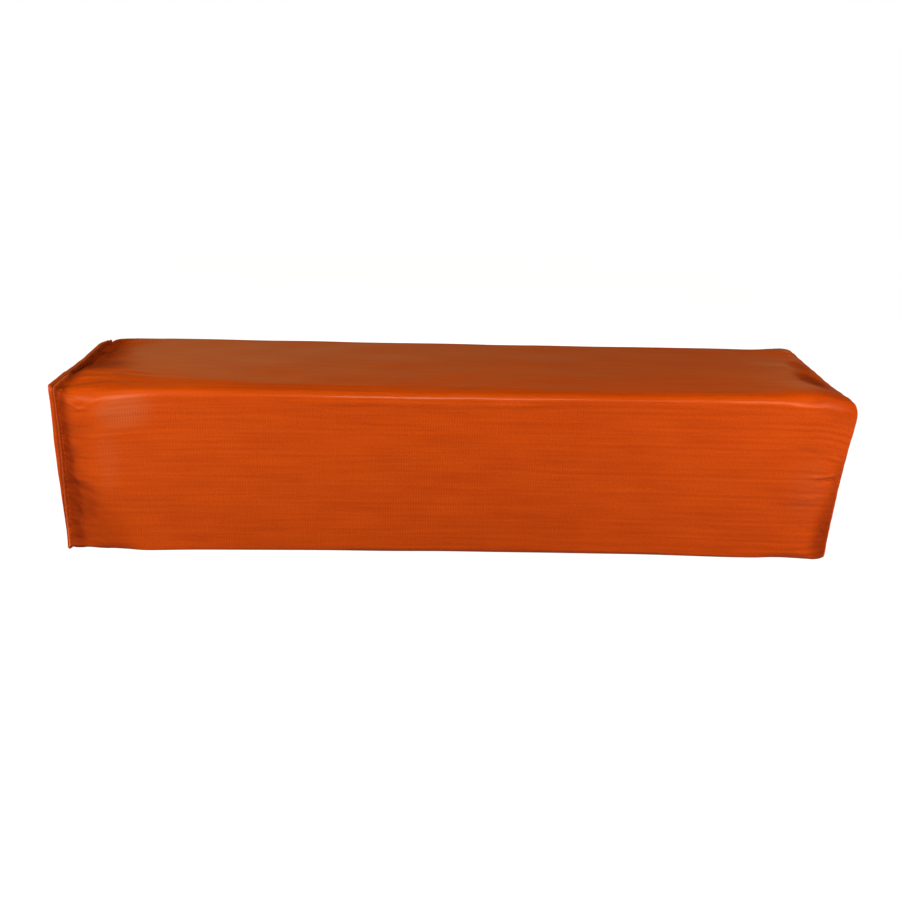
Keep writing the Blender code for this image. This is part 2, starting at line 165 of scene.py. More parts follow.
class Ring:
    """Where each point of a ring lies: on which side, how far across it, how far round its arc."""

    def __init__(self, count):
        quarter = count // 4
        arc = round(quarter * ARC_SHARE)
        flat = quarter - arc
        step = np.arange(count) % quarter
        self.count = count
        self.side = np.arange(count) // quarter
        self.before = (self.side + 3) % 4
        self.flat = step < flat
        self.across = np.where(self.flat, 2 * step / flat - 1, 1.0)
        self.turn = np.where(self.flat, 0.0, (step - flat) / arc) * math.pi / 2
        run = (self.across + 1) / 2 * STRAIGHT + self.turn * EDGE_RADIUS
        self.run = self.side * (STRAIGHT + ARC) + run
        around = self.run - 2 * STRAIGHT - 1.5 * ARC
        self.around = (around + AROUND / 2) % AROUND - AROUND / 2


RINGS = {count: Ring(count) for count in (FINE, MEDIUM, SETTLING, COARSE, COARSEST)}


def as_row(along):
    return np.atleast_1d(np.asarray(along, float))


def crease(run):
    """0 before a crease and the run itself after it, with the crease a little rounded."""
    return (run + np.sqrt(run * run + CREASE_ROUNDING)) / 2


def place(along, ring, inset=0.0, lift=0.0):
    """Points of the cover at these distances along, inset from its outside and lifted off it."""
    along = as_row(along)
    rows = form_at(along)
    half, radii, crest, swells, rise, dip = np.split(rows, (1, 5, 6, 10, 11), axis=1)
    on_top, on_front = ring.side == 1, ring.side == 2
    radius, before = radii[:, ring.side], radii[:, ring.before]
    share = (ring.across + 1) / 2
    arc_across, arc_out = radius * np.sin(ring.turn), radius * np.cos(ring.turn)
    past_start = np.where(ring.flat, (share - 1) * (2 * half - radius - before), arc_across)
    slope = crest - radii[:, 1:2]
    top = rise * share**TOP_CURVE - dip * crease(1 + past_start / slope)
    edge = rise - dip * crease(1 + radii[:, 1:2] / slope)
    side_across = (before - half - edge * on_front) * (1 - share) + (half - radius) * share
    side_out = half + swells[:, ring.side] * (1 - ring.across**2) ** SWELL_CURVE + top * on_top
    across = np.where(ring.flat, side_across, half - radius + arc_across)
    out = np.where(ring.flat, side_out, half + top * on_top - radius + arc_out)
    return stand_up(along, out, across, np.asarray(lift) - inset, ring)


def stand_up(along, out, across, rise, ring):
    """Points from their distances out of a side and across it, moved outwards by the rise."""
    out = out + rise * np.cos(ring.turn)
    across = across + rise * np.sin(ring.turn)
    turned = ring.side * math.pi / 2
    y = out * np.cos(turned) - across * np.sin(turned)
    z = out * np.sin(turned) + across * np.cos(turned)
    y, z = np.atleast_2d(y), np.atleast_2d(z)
    x = np.broadcast_to(along[:, None] - LENGTH / 2, y.shape)
    return np.stack([x, y, HALF + z], axis=-1)


def plain_square(along, half, radius, ring, rise=0.0):
    """Points of a square with straight sides at one distance along."""
    straight = half - radius
    out = np.where(ring.flat, half, straight + radius * np.cos(ring.turn))
    across = np.where(ring.flat, ring.across * straight, straight + radius * np.sin(ring.turn))
    return stand_up(as_row(along), out, across, rise, ring)[0]


point_gap = STRAIGHT * 4 / (FINE * (1 - ARC_SHARE))
print(f"a fine ring has {FINE} points, {point_gap:.2f} mm apart on its sides")

# %% [markdown]
# Folds and puckers
#
# Four things shape the cloth's surface. Each stitch pinches it. Each seam gathers it into
# folds that run away from the seam and fade. The corners, where two seams' worth of cloth meets,
# hold a few large folds, and these are the ones that the eye knows the object by, so they are
# placed one by one along paths. Last, the whole skin waves a little. Sculpting by hand could
# give the same, but paths and waves can be changed by a number.

# %% Waves that close round the cover
SKIN_WAVES = 40


def waves_round(around, least, most, seed):
    """Noise round the cover from waves with whole numbers of periods, with a spread of about 1."""
    draw = np.random.default_rng(seed)
    numbers = np.arange(least, most)
    heights = draw.normal(size=len(numbers))
    starts = draw.uniform(0, 2 * math.pi, len(numbers))
    turns = 2 * math.pi * np.multiply.outer(around, numbers) / AROUND + starts
    return (np.cos(turns) * heights).sum(-1) / math.sqrt(len(numbers) / 2)


def waves_over(along, around, seed):
    """Noise over the whole skin: long waves in both directions."""
    draw = np.random.default_rng(seed)
    total = np.zeros(np.broadcast(along, around).shape)
    for _ in range(SKIN_WAVES):
        lengthwise, round_it = draw.uniform(-9, 9), draw.integers(-14, 15)
        start = draw.uniform(0, 2 * math.pi)
        turns = lengthwise * along / LENGTH + round_it * around / AROUND
        total += np.cos(2 * math.pi * turns + start)
    return total / math.sqrt(SKIN_WAVES / 2)


# %% Folds along paths, and hollows
def round_distance(around, middle):
    """How far round the cover from the middle, the short way, with its sign."""
    return (around - middle + AROUND / 2) % AROUND - AROUND / 2


def soft_step(share):
    share = np.clip(share, 0, 1)
    return share * share * (3 - 2 * share)


def from_spot(along, around, spot):
    """How far these points are from a spot along and round, as shares of its size that way."""
    at, middle, to_base, to_top, back, front = spot
    run, side = along - at, round_distance(around, middle)
    return run / np.where(run < 0, to_base, to_top), side / np.where(side < 0, back, front)


# height, width, fade at the start and at the end as shares of the path, then (along, around) points
FOLDS = (
    (-0.60, 1.0, 0.1, 0.5, ((4, -31.5), (8, -31), (15, -29.5), (24, -26.5), (50, -21), (66, -19))),
    (0.50, 2.0, 0.1, 0.5, ((5, -27.5), (15, -26), (26, -23), (50, -18))),
    (0.60, 1.7, 0.2, 0.5, ((10, -18.5), (17, -17), (28, -17), (44, -15))),
    (-0.35, 1.7, 0.2, 0.6, ((8, -8), (20, -10), (33, -12), (53, -12), (70, -10))),
    (0.30, 1.6, 0.2, 0.6, ((10, -4.5), (26, -3.5), (48, -2), (85, -2))),
    (0.60, 0.8, 0.1, 0.3, ((5.5, -5), (7.5, -2), (10.5, 0.5))),
    (0.50, 0.7, 0.2, 0.3, ((9, 0.5), (12.5, 0.8), (17, 1.2))),
    (0.60, 1.0, 0.2, 0.2, ((10, 2), (11.4, 5), (16, 8.4), (21.5, 7.8), (27, 4), (29.5, 0))),
    (0.25, 1.6, 0.3, 0.4, ((12, 17), (22, 18), (36, 17))),
    (0.88, 1.0, 0.15, 0.15, ((128, 7.3), (170, 7.5), (240, 7.3), (292, 7.3))),
    (0.60, 1.0, 0.1, 0.5, ((5, -37.5), (12, -40), (22, -43.5))),
    (0.50, 1.1, 0.1, 0.5, ((5, -53), (12, -57), (20, -63))),
    (-0.45, 1.5, 0.1, 0.5, ((5, -49), (12, -52), (21, -57))),
    (-0.60, 1.3, 0.2, 0.3, ((7.2, 67), (8, 70.5), (9.5, 76.5), (11.5, 84))),
    (0.45, 1.6, 0.2, 0.4, ((6.5, 74), (8, 80), (9, 88))),
    (-0.50, 1.8, 0.1, 0.6, ((6.5, 54), (13, 57), (26, 63))),
    (0.45, 1.6, 0.1, 0.6, ((6, 49), (14, 52), (24, 55))),
    (-0.45, 1.5, 0.1, 0.6, ((6.5, 46), (13, 48), (20, 49))),
    (-0.40, 2.0, 0.1, 0.6, ((7, 63), (15, 66), (27, 70))),
    (0.40, 1.6, 0.1, 0.6, ((5.5, 27), (12, 29), (22, 30))),
    (-0.35, 1.8, 0.1, 0.6, ((5.5, 36), (12, 38), (26, 39))),
    (0.38, 1.1, 0.3, 0.3, ((446, -72), (449, -65), (450.5, -57), (450.5, -47))),
    (-0.50, 1.3, 0.4, 0.2, ((440, -60), (447, -61.5), (451, -62))),
    (-0.45, 1.4, 0.4, 0.2, ((441, -44), (447, -48), (452, -53))),
    (0.35, 2.4, 0.4, 0.1, ((415, 5), (436, 5.5), (450, 7))),
    (-0.30, 1.6, 0.5, 0.1, ((415, 26), (436, 31), (452, 36))),
    (0.85, 0.9, 0.5, 0.1, ((432, 45.5), (443, 44), (453, 41.5))),
    (-0.45, 1.2, 0.5, 0.1, ((436, 48.5), (445, 47), (453, 45))),
    (0.30, 1.4, 0.5, 0.1, ((420, 60), (440, 57), (452.5, 53))),
    (-0.30, 1.6, 0.5, 0.1, ((428, 74), (444, 76), (452.5, 77))),
)
# depth, along, around, then the sizes towards the base, the top, backwards and forwards
HOLLOWS = (
    (-3.0, 8, -78, 5, 14, 13, 24),
    (-1.5, 447, -35, 8, 9, 11, 15),
    (-0.8, 12, 62, 6, 16, 16, 14),
    (-1.0, 448, -128, 9, 6, 14, 12),
    (-1.2, 12, -120, 6, 22, 10, 14),
    (-0.7, 449, 64, 12, 5, 14, 12),
    (1.3, 453, -94, 12, 14, 13, 24),
    (1.0, 452, 98, 14, 20, 10, 10),
    (2.6, 5, 98, 4.5, 4, 11, 14),
    (0.6, 40, 9, 14, 14, 8, 10),
    (0.9, 44, 98, 14, 24, 8, 8),
    (-2.2, 5, -49, 5, 21, 14, 13),
)


def fold_lift(along, around):
    """The sum of the folds and hollows at these points."""
    total = np.zeros(np.broadcast(along, around).shape)
    for height, width, fade_in, fade_out, path in FOLDS:
        points = np.array(path, float)
        runs = np.hypot(*np.diff(points, axis=0).T)
        nearest = np.full(total.shape, np.inf)
        share = np.zeros(total.shape)
        passed = 0.0
        for start, end, run in zip(points, points[1:], runs):
            go = (end - start) / run
            side = round_distance(around, start[1])
            t = np.clip((along - start[0]) * go[0] + side * go[1], 0, run)
            away = (along - start[0] - t * go[0]) ** 2 + (side - t * go[1]) ** 2
            closer = away < nearest
            nearest = np.where(closer, away, nearest)
            share = np.where(closer, (passed + t) / runs.sum(), share)
            passed += run
        fade = soft_step(share / fade_in) * soft_step((1 - share) / fade_out)
        total += height * fade * np.exp(-nearest / width**2)
    for depth, *spot in HOLLOWS:
        run, side = from_spot(along, around, spot)
        total += depth * np.exp(-(run**2) - side**2)
    return total


print(f"{len(FOLDS)} folds and {len(HOLLOWS)} hollows")

# %% The cloth's lift off its plain form
# height, fewest and most waves round the cover, seed, and the distance over which they fade
BASE_WAVES = ((0.22, 26, 60, 3, 6), (0.20, 9, 26, 4, 18))
TOP_WAVES = ((0.07, 30, 64, 5, 5), (0.06, 8, 28, 6, 16))
RIM_NARROWS = 2.4


def seam_fade(distance, length):
    return np.exp(-np.clip(distance, 0, None) / length)


def lift_at(along, ring, settled=None):
    """How far the cloth stands off the form at these points, in mm."""
    along = as_row(along)[:, None]
    around = np.broadcast_to(ring.around, (len(along), ring.count))
    from_base, from_top = along - STITCH_LINE, FOLD_START - along
    stitch = np.cos(2 * math.pi * ring.run / STITCH_PITCH)
    rim = 0.35 + 0.65 * soft_step((along - CUT_EDGE) / 4)
    lift = 0.12 * stitch * np.exp(-((from_base / 1.6) ** 2))
    for waves, away, share in ((BASE_WAVES, np.abs(from_base), rim), (TOP_WAVES, from_top, 1.0)):
        for height, least, most, seed, fade in waves:
            gathers = height * waves_round(around[0], least, most, seed)
            lift = lift + gathers * seam_fade(away, fade) * share
    inside = soft_step(from_base / 30) * soft_step(from_top / 30)
    lift = lift + 0.10 * waves_over(along, around, 7) * inside
    lift = lift + fold_lift(along, around) * soft_step((along - 1) / 5)
    if settled is not None:
        lift = lift + settled
    side_seam = round_distance(around, AROUND / 2)
    pinch = 0.55 + 0.15 * np.cos(2 * math.pi * along / STITCH_PITCH)
    lift = lift - pinch * np.exp(-((side_seam / 0.9) ** 2)) * inside
    return lift


# along, depth, around, reach round the cover, then the move in x, y and z
EARS = (
    (0, 4.5, -AROUND / 4, 10, (3.1, -0.3, -1.2)),
    (0, 4.5, -4, 10, (0.2, 1.0, 1.9)),
    (0, 4.5, -24, 12, (0.0, 0.0, 0.9)),
    (0, 4.5, -62, 22, (0.0, 0.0, -0.9)),
    (0, 4.5, 13, 14, (1.0, 0.0, 0.0)),
    (0, 4.5, AROUND / 4, 9, (-0.4, -2.2, 0.0)),
    (0, 4.5, 76, 42, (-0.5, 0.0, 0.0)),
    (0, 4.5, AROUND / 2, 10, (0.6, -0.5, 0.7)),
    (LENGTH, 16, 9, 12, (0.8, 0.0, 0.0)),
    (LENGTH, 16, 50, 34, (-0.4, 0.0, 0.0)),
)


def shift_ends(points, along, ring):
    """Moves the corners of the two ends: the rim's stand their own way, like ears of double cloth.

    The seam also runs nearer to the rim's edge towards the front lower corner.
    """
    along = as_row(along)[:, None]
    moved = points.copy()
    for at, depth, middle, reach, move in EARS:
        side = round_distance(ring.around, middle)
        weight = np.exp(-((side / reach) ** 2)) * np.exp(-(((along - at) / depth) ** 2))
        moved += weight[..., None] * np.array(move)
    side = round_distance(ring.around, 85)
    narrow = soft_step((side + 57) / 57) * soft_step((45 - side) / 30)
    fade = soft_step((8.5 - along) / 3.9)
    moved[..., 0] -= RIM_NARROWS * narrow * np.minimum(along / CUT_EDGE, 1) * fade
    moved[..., 2] = np.maximum(moved[..., 2], 0.02)
    return moved


# strength, along, around, then the sizes towards the base, the top, backwards and forwards.
# Each spot is painted shade, in dips and folds near both ends, along the ends' edges and in the
# top end's dimple; a strength below zero paints a sheen, a pale patch on the front
SHADE_AND_SHEEN_SPOTS = (
    (1.00, 3, -84, 8, 16, 18, 16),
    (0.95, 4, -60, 8, 21, 16, 14),
    (0.90, 6, -38, 9, 27, 13, 13),
    (0.18, 26, -2, 14, 20, 9, 8),
    (0.95, 444, -34, 9, 9, 14, 14),
    (0.45, 449, -58, 8, 6, 12, 10),
    (0.30, 8, 36, 8, 18, 36, 40),
    (0.35, 10, 66, 5, 11, 14, 10),
    (0.45, 20, 86, 12, 18, 22, 18),
    (0.80, 455, 84, 9, 6, 28, 16),
    (0.35, 456, 46, 6, 5, 16, 16),
    (0.32, 449, -2, 18, 14, 18, 12),
    (-0.50, 40, 9, 14, 16, 9, 11),
    (-0.22, 24, 38, 10, 12, 18, 20),
    (-0.15, 438, 52, 12, 10, 18, 18),
)


SEAM_GROOVE = 6.2


def painted_shade_and_sheen(along, ring):
    """Painted shade on the cloth here, most in the groove beside the base seam; below zero it is painted
    sheen.
    """
    width = 2.2 if along < SEAM_GROOVE else 4.2
    shade = np.full(ring.count, 0.85 * math.exp(-(((along - SEAM_GROOVE) / width) ** 2)))
    for strength, *spot in SHADE_AND_SHEEN_SPOTS:
        run, side = from_spot(along, ring.around, spot)
        away = run**2 + side**2
        shade += strength * np.exp(-(away**2))
    return np.clip(shade, -1.0, 1.0)


def cloth(along, ring, inset=0.0, settled=None):
    """Finished points of the cover's cloth at these distances along."""
    return shift_ends(place(along, ring, inset, lift_at(along, ring, settled)), along, ring)


# %% [markdown]
# Meshes from loops
#
# A sewn piece is a chain of loops, each a ring of points. Quads join loops of the same count,
# and where the count halves or doubles, faces with five corners do. The chain goes down one
# face of the cloth and back up the other, so each piece is a closed sheet of real thickness.
# Solidify would do that too, but it can't follow a hem that is turned in on itself.

# %% Build a mesh from a chain of loops
SHARP_DEGREES = 50


def new_mesh(name, points, faces=()):
    mesh = bpy.data.meshes.new(name)
    mesh.from_pydata(points.tolist(), [], [tuple(map(int, face)) for face in faces])
    return mesh


def new_object(name, data):
    made = bpy.data.objects.new(name, data)
    SCENE.collection.objects.link(made)
    return made


def read_all(items, name, width=1, kind=np.float32):
    """One property of all the items, as an array with this many values in a row."""
    values = np.zeros(len(items) * width, kind)
    items.foreach_get(name, values)
    return values.reshape(-1, width) if width > 1 else values


def loop_faces(first, count, second, after):
    """The faces between two loops, which start at these point numbers."""
    i = np.arange(min(count, after))
    n = (i + 1) % len(i)
    if count == after:
        return [tuple(face) for face in np.stack([first + i, first + n, second + n, second + i], 1)]
    if count == 2 * after:
        turn = (2 * i + 2) % count
        face = [first + 2 * i, first + 2 * i + 1, first + turn, second + n, second + i]
    else:
        turn = (2 * i + 2) % after
        face = [first + i, first + n, second + turn, second + 2 * i + 1, second + 2 * i]
    return [tuple(corners) for corners in np.stack(face, 1)]


def sheet_mesh(name, loops, maps, material, closed=True, wrap=None, pale_cut_edges=(), shades=None):
    """An object from loops of points in mm. maps holds each loop's place on the flat cloth, in mm.

    wrap is the flat cloth's width, where it comes back to its start. The next argument lists the
    loops on a cut edge, which are painted paler, and shades holds each loop's painted shade, which
    below zero is painted sheen.
    """
    counts = [len(loop) for loop in loops]
    starts = np.concatenate([[0], np.cumsum(counts)[:-1]])
    faces = []
    pairs = list(zip(range(len(loops)), range(1, len(loops))))
    if closed:
        pairs.append((len(loops) - 1, 0))
    for a, b in pairs:
        faces += loop_faces(starts[a], counts[a], starts[b], counts[b])
    if not closed:
        faces.append(tuple(range(starts[0] + counts[0] - 1, starts[0] - 1, -1)))
        faces.append(tuple(range(starts[-1], starts[-1] + counts[-1])))
    points, flat = np.concatenate(loops), np.concatenate(maps)
    mesh = new_mesh(name, points * MM, faces)
    mesh.update()
    if signed_volume(mesh) < 0:
        mesh.flip_normals()
    corner_map = flat[read_all(mesh.loops, "vertex_index", kind=np.int32)]
    if wrap:
        begins = read_all(mesh.polygons, "loop_start", kind=np.int32)
        sizes = np.diff(np.append(begins, len(corner_map)))
        highest = np.repeat(np.maximum.reduceat(corner_map[:, 1], begins), sizes)
        corner_map[highest - corner_map[:, 1] > wrap / 2, 1] += wrap
    uv = mesh.uv_layers.new(name="flat_cloth")
    uv.data.foreach_set("uv", (corner_map * MM).astype(np.float32).ravel())
    cut = np.zeros(len(points), np.float32)
    for loop in pale_cut_edges:
        cut[starts[loop]:starts[loop] + counts[loop]] = 1
    shades = shades or [0.0] * len(loops)
    shade = np.concatenate([np.broadcast_to(value, len(loop)) for value, loop in zip(shades, loops)])
    for label, values in (("cut_edge", cut), ("painted_shade_and_sheen", shade.astype(np.float32))):
        mesh.attributes.new(label, "FLOAT", "POINT").data.foreach_set("value", values)
    mesh.shade_smooth()
    mesh.set_sharp_from_angle(angle=math.radians(SHARP_DEGREES))
    mesh.materials.append(material)
    print(f"{name}: {sum(len(face) - 2 for face in faces)} triangles")
    return new_object(name, mesh)


def signed_volume(mesh):
    """The volume inside a closed mesh: negative where its faces point inwards."""
    mesh.calc_loop_triangles()
    points = read_all(mesh.vertices, "co", 3)
    corners = read_all(mesh.loop_triangles, "vertices", 3, np.int32)
    a, b, c = points[corners].transpose(1, 0, 2).astype(float)
    return float((a * np.cross(b, c)).sum() / 6)


# %% [markdown]
# Node trees from Python
#
# A material is easier to read as a formula than as a picture of wires. The class below wraps a
# socket, so that a sum or a product of two sockets adds the Math node for it. Colours and
# vectors go through nodes of their own, because a Math node would turn a colour grey. The same
# method adds any node, and it serves the stitches' geometry tree too.

# %% A socket with arithmetic
class Wire:
    """The output of a node. Arithmetic on it adds Math nodes."""

    def __init__(self, tree, socket):
        self.tree, self.socket = tree, socket

    def math(self, operation, *others, first=None):
        inputs = [self, *others] if first is None else [first, self, *others]
        return self.node("ShaderNodeMath", {"operation": operation}, dict(enumerate(inputs)))

    def node(self, kind, settings=None, inputs=None, output=0):
        return add_node(self.tree, kind, settings, inputs, output)

    def __add__(self, other):
        return self.math("ADD", other)

    def __sub__(self, other):
        return self.math("SUBTRACT", other)

    def __rsub__(self, other):
        return self.math("SUBTRACT", first=other)

    def __mul__(self, other):
        return self.math("MULTIPLY", other)

    __radd__ = __add__

    def clamped(self):
        return self.math("MAXIMUM", 0.0).math("MINIMUM", 1.0)

    def wave(self, pitch):
        """A sine that repeats each pitch, in metres."""
        return (self * (2 * math.pi / pitch)).math("SINE")

    def parts(self):
        """The three parts of a vector or a colour."""
        split = self.node("ShaderNodeSeparateXYZ", inputs={0: self}).socket.node
        return [Wire(self.tree, output) for output in split.outputs]

    def between(self, low, high):
        """0 at low, 1 at high, and smooth between them."""
        inputs = {0: self, 1: low, 2: high, 3: 0.0, 4: 1.0}
        return self.node("ShaderNodeMapRange", {"interpolation_type": "SMOOTHSTEP"}, inputs)


def add_node(tree, kind, settings=None, inputs=None, output=0):
    """Adds a node, sets what it is and then its inputs, and returns one of its outputs."""
    made = tree.nodes.new(kind)
    for name, value in (settings or {}).items():
        setattr(made, name, value)
    for name, value in (inputs or {}).items():
        if isinstance(value, Wire):
            tree.links.new(value.socket, made.inputs[name])
        else:
            if made.inputs[name].type == "RGBA" and len(value) == 3:
                value = (*value, 1)
            made.inputs[name].default_value = value
    return Wire(tree, made.outputs[output]) if made.outputs else made


def mix_colour(share, low, high):
    """low where share is 0 and high where it is 1."""
    return share.node("ShaderNodeMix", {"data_type": "RGBA"}, {0: share, 6: low, 7: high}, 2)


# %% A finish
class Finish:
    """A material under construction, with the surface's place as wires."""

    def __init__(self, name, roughness=0.5, level=0.5):
        self.material = bpy.data.materials.new(name)
        self.material.use_nodes = True
        self.tree = self.material.node_tree
        self.shader = self.tree.nodes["Principled BSDF"]
        self.shader.inputs["Roughness"].default_value = roughness
        self.shader.inputs["Specular IOR Level"].default_value = level

    def add(self, kind, settings=None, inputs=None, output=0):
        return add_node(self.tree, kind, settings, inputs, output)

    def place(self):
        return self.add("ShaderNodeTexCoord", output=3)

    def flat_cloth(self):
        """The surface's place on the flat cloth, in metres: along it and round it."""
        uv = self.add("ShaderNodeUVMap", {"uv_map": "flat_cloth"})
        along, around, _ = uv.parts()
        return uv, along, around

    def noise(self, vector, scale, detail=2.0, roughness=0.5):
        """Cloudy noise. A scale of three numbers stretches it."""
        if isinstance(scale, tuple):
            vector = self.add("ShaderNodeMapping", inputs={"Vector": vector, "Scale": scale})
            scale = 1.0
        inputs = {"Vector": vector, "Scale": scale, "Detail": detail, "Roughness": roughness}
        return self.add("ShaderNodeTexNoise", inputs=inputs)

    def cells(self, vector, scale, output=0):
        """The distance to the nearest cell's point, or with output 1 that cell's colour."""
        return self.add("ShaderNodeTexVoronoi", inputs={"Vector": vector, "Scale": scale}, output=output)

    def wire(self, name, value):
        self.tree.links.new(value.socket, self.shader.inputs[name])

    def colour(self, share, low, high):
        self.wire("Base Color", mix_colour(share, low, high))

    def bump(self, height, distance):
        inputs = {"Strength": 1.0, "Distance": distance, "Height": height}
        self.wire("Normal", self.add("ShaderNodeBump", inputs=inputs))


# %% [markdown]
# Vinyl-coated cloth
#
# The cover is a polyester scrim between two films of orange vinyl. The threads of the scrim
# show through the film as a fine grid: upright threads 1.5 mm apart, which show in patches, and
# lengthwise threads that catch the light in uneven streaks. The film is satin, with patches that
# wear has made shinier. The cut edges are paler, partly because there the scrim's white threads
# come through and partly as a painted highlight along the edge. Darker patches are painted
# shade, in the groove beside the base seam, in dips and folds near both ends and in the top
# end's dimple, and a few pale patches on the front are a painted sheen. The pattern is on the
# flat cloth's own map, so it bends with the cloth.

# %% The vinyl's finish
VINYL_ORANGE = (0.680, 0.0940, 0.0030)
VINYL_DEEP = (0.430, 0.0410, 0.0010)
VINYL_PALE = (0.820, 0.1550, 0.0450)
# the colour that painted shade turns the cloth to
VINYL_PAINTED_SHADE = (0.240, 0.0230, 0.0004)
# the colour of painted sheen
VINYL_PAINTED_SHEEN = (0.520, 0.1350, 0.0620)
THREAD_PITCH = 1.48 * MM
THREAD_PITCH_LENGTHWISE = 3.9 * MM
# smoother than about 0.275 the denoiser treats the film another way, and a line shows there
SMOOTHEST = 0.28


def make_vinyl():
    finish = Finish("orange_vinyl", level=0.25)
    uv, along, around = finish.flat_cloth()
    streaks, loose = finish.noise(uv, (20, 500, 1)), finish.noise(uv, (500, 60, 1))
    grain, mottle = finish.noise(uv, 760.0, detail=1.0), finish.noise(uv, 42.0, 3.0, 0.55)
    patches = finish.noise(uv, 9.0)
    near_top, in_front = along.between(0.29, 0.40), around.between(0.196, 0.206)
    shows = (finish.noise(uv, 16.0) - 0.25) * 2.0 * (1.0 - near_top * 0.8)
    upright = along.wave(THREAD_PITCH) * (loose * 0.9 + 0.1) * (shows * 0.5 + 0.5)
    lengthwise = around.wave(THREAD_PITCH_LENGTHWISE) * (near_top * 0.12 + 0.03)
    weave = upright * (in_front * 0.36 + 0.04) + lengthwise * (in_front * 0.9 + 0.1)
    tone = (streaks - 0.5) * 0.8 + (mottle - 0.5) * 0.35 + (patches - 0.5) * 0.3
    tone = tone + (grain - 0.5) * 0.5 + weave * 0.5 + 0.5
    colour = mix_colour(tone.clamped(), VINYL_DEEP, VINYL_ORANGE)
    # the cut edges are painted paler: partly the scrim's white threads, partly a painted highlight along
    # the edge
    pale_cut_edges = finish.add("ShaderNodeAttribute", {"attribute_name": "cut_edge"}, output=2)
    colour = mix_colour(pale_cut_edges.between(0.3, 0.9), colour, VINYL_PALE)
    # painted shade: where the spots' value is above zero the cloth is painted darker, in patches, and
    # made rougher
    shade = finish.add("ShaderNodeAttribute", {"attribute_name": "painted_shade_and_sheen"}, output=2)
    blotches = finish.noise(uv, (160, 330, 1), 3.0, 0.6)
    painted_shade_share = (shade * (0.45 + blotches)).clamped()
    colour = mix_colour(painted_shade_share, colour, VINYL_PAINTED_SHADE)
    # painted sheen: where the spots' value is below zero the cloth is painted paler, more on raised
    # threads and streaks
    painted_sheen_share = (shade * (-0.8 - weave * 1.6 - (streaks - 0.5) * 1.2)).clamped()
    finish.colour(painted_sheen_share, colour, VINYL_PAINTED_SHEEN)
    shine = (patches - 0.5) * 0.14 + (mottle - 0.5) * 0.04 + weave * 0.03
    roughness = (0.295 + shine + painted_shade_share * 0.4).math("MAXIMUM", SMOOTHEST)
    finish.wire("Roughness", roughness.clamped())
    relief = weave * 0.4 + (streaks - 0.5) * 0.4 + (mottle - 0.5) * 0.25 + (grain - 0.5) * 0.2
    finish.bump(relief, 0.06 * MM)
    return finish.material


VINYL = make_vinyl()

# %% [markdown]
# The cloth settles on the foam
#
# The table gives the cover's form, but not how the cloth gathers where a seam holds it. So the
# 60 mm next to each seam are put through a cloth simulation, at ten times their size, because
# the solver is made for garments and not for a sheet this small. The sewn edge and the far end
# are pinned, the cloth has some spare length beside the seam, and the foam's push is a pressure
# from inside. The table holds the swell already, so only the wrinkles are kept.

# %% Simulate the two ends of the cover
SETTLE_RING = RINGS[SETTLING]
SETTLE_STEPS = np.arange(0, 62, 2.2)
SETTLE_SCALE = 0.01
SETTLE_FRAMES = 20
SETTLE_CAP = 0.6
SETTLE_FREE, SETTLE_HOLD = 25, 30
GATHER_FADE = 14
SWELL_TERMS = 12
CLOTH_SETTINGS = {
    "quality": 5, "mass": 0.1, "tension_stiffness": 15, "compression_stiffness": 15,
    "shear_stiffness": 7.5, "bending_stiffness": 0.05, "vertex_group_mass": "held",
    "vertex_group_shrink": "gathered", "shrink_min": 0.0, "shrink_max": -0.08,
    "use_pressure": True, "uniform_pressure_force": 4.0,
}


def settle_end(seam, direction):
    """Simulates the cloth from one seam inwards, and returns its wrinkles in mm, row by row."""
    ring, along = SETTLE_RING, seam + direction * SETTLE_STEPS
    count, rows = ring.count, len(along)
    fade = SETTLE_STEPS[:, None]
    start = 0.35 * waves_round(ring.around, 26, 60, 3) * np.exp(-fade / 9)
    start = start + 0.35 * waves_round(ring.around, 9, 26, 4) * np.exp(-fade / 20)
    rest = place(along, ring, 0, start)
    faces = []
    for row in range(rows - 1):
        faces += loop_faces(row * count, count, (row + 1) * count, count)
    mesh = new_mesh("settling", rest.reshape(-1, 3) * SETTLE_SCALE, faces)
    sample = new_object("settling", mesh)
    if faces_outwards(mesh) < 0:
        mesh.flip_normals()
    held, gathered = (sample.vertex_groups.new(name=name) for name in ("held", "gathered"))
    for row, distance in enumerate(SETTLE_STEPS):
        edge = row in (0, 1, rows - 2, rows - 1)
        index = list(range(row * count, (row + 1) * count))
        pin = 1.0 if edge else float(soft_step((distance - SETTLE_FREE) / SETTLE_HOLD))
        held.add(index, pin, "REPLACE")
        gathered.add(index, math.exp(-distance / GATHER_FADE), "REPLACE")
    modifier = sample.modifiers.new("cloth", "CLOTH")
    for name, value in CLOTH_SETTINGS.items():
        setattr(modifier.settings, name, value)
    modifier.settings.effector_weights.gravity = 0
    modifier.point_cache.frame_start, modifier.point_cache.frame_end = 1, SETTLE_FRAMES
    for moment in range(1, SETTLE_FRAMES + 1):
        SCENE.frame_set(moment)
    seen = sample.evaluated_get(bpy.context.evaluated_depsgraph_get()).data
    after = read_all(seen.vertices, "co", 3)
    moved = after.reshape(rows, count, 3) / SETTLE_SCALE - rest
    SCENE.frame_set(1)
    bpy.data.objects.remove(sample)
    lift = (moved * (place(along, ring, -1.0) - place(along, ring))).sum(-1)
    waves = np.fft.rfft(lift, axis=1)
    waves[:, :SWELL_TERMS] = 0
    wrinkles = np.fft.irfft(waves, count, axis=1)
    print(f"the cloth at {seam:.1f} mm moved {lift.min():.2f} to {lift.max():.2f} mm; "
          f"its wrinkles are {wrinkles.std():.2f} mm deep, the most {np.abs(wrinkles).max():.2f}")
    return np.clip(wrinkles, -SETTLE_CAP, SETTLE_CAP)


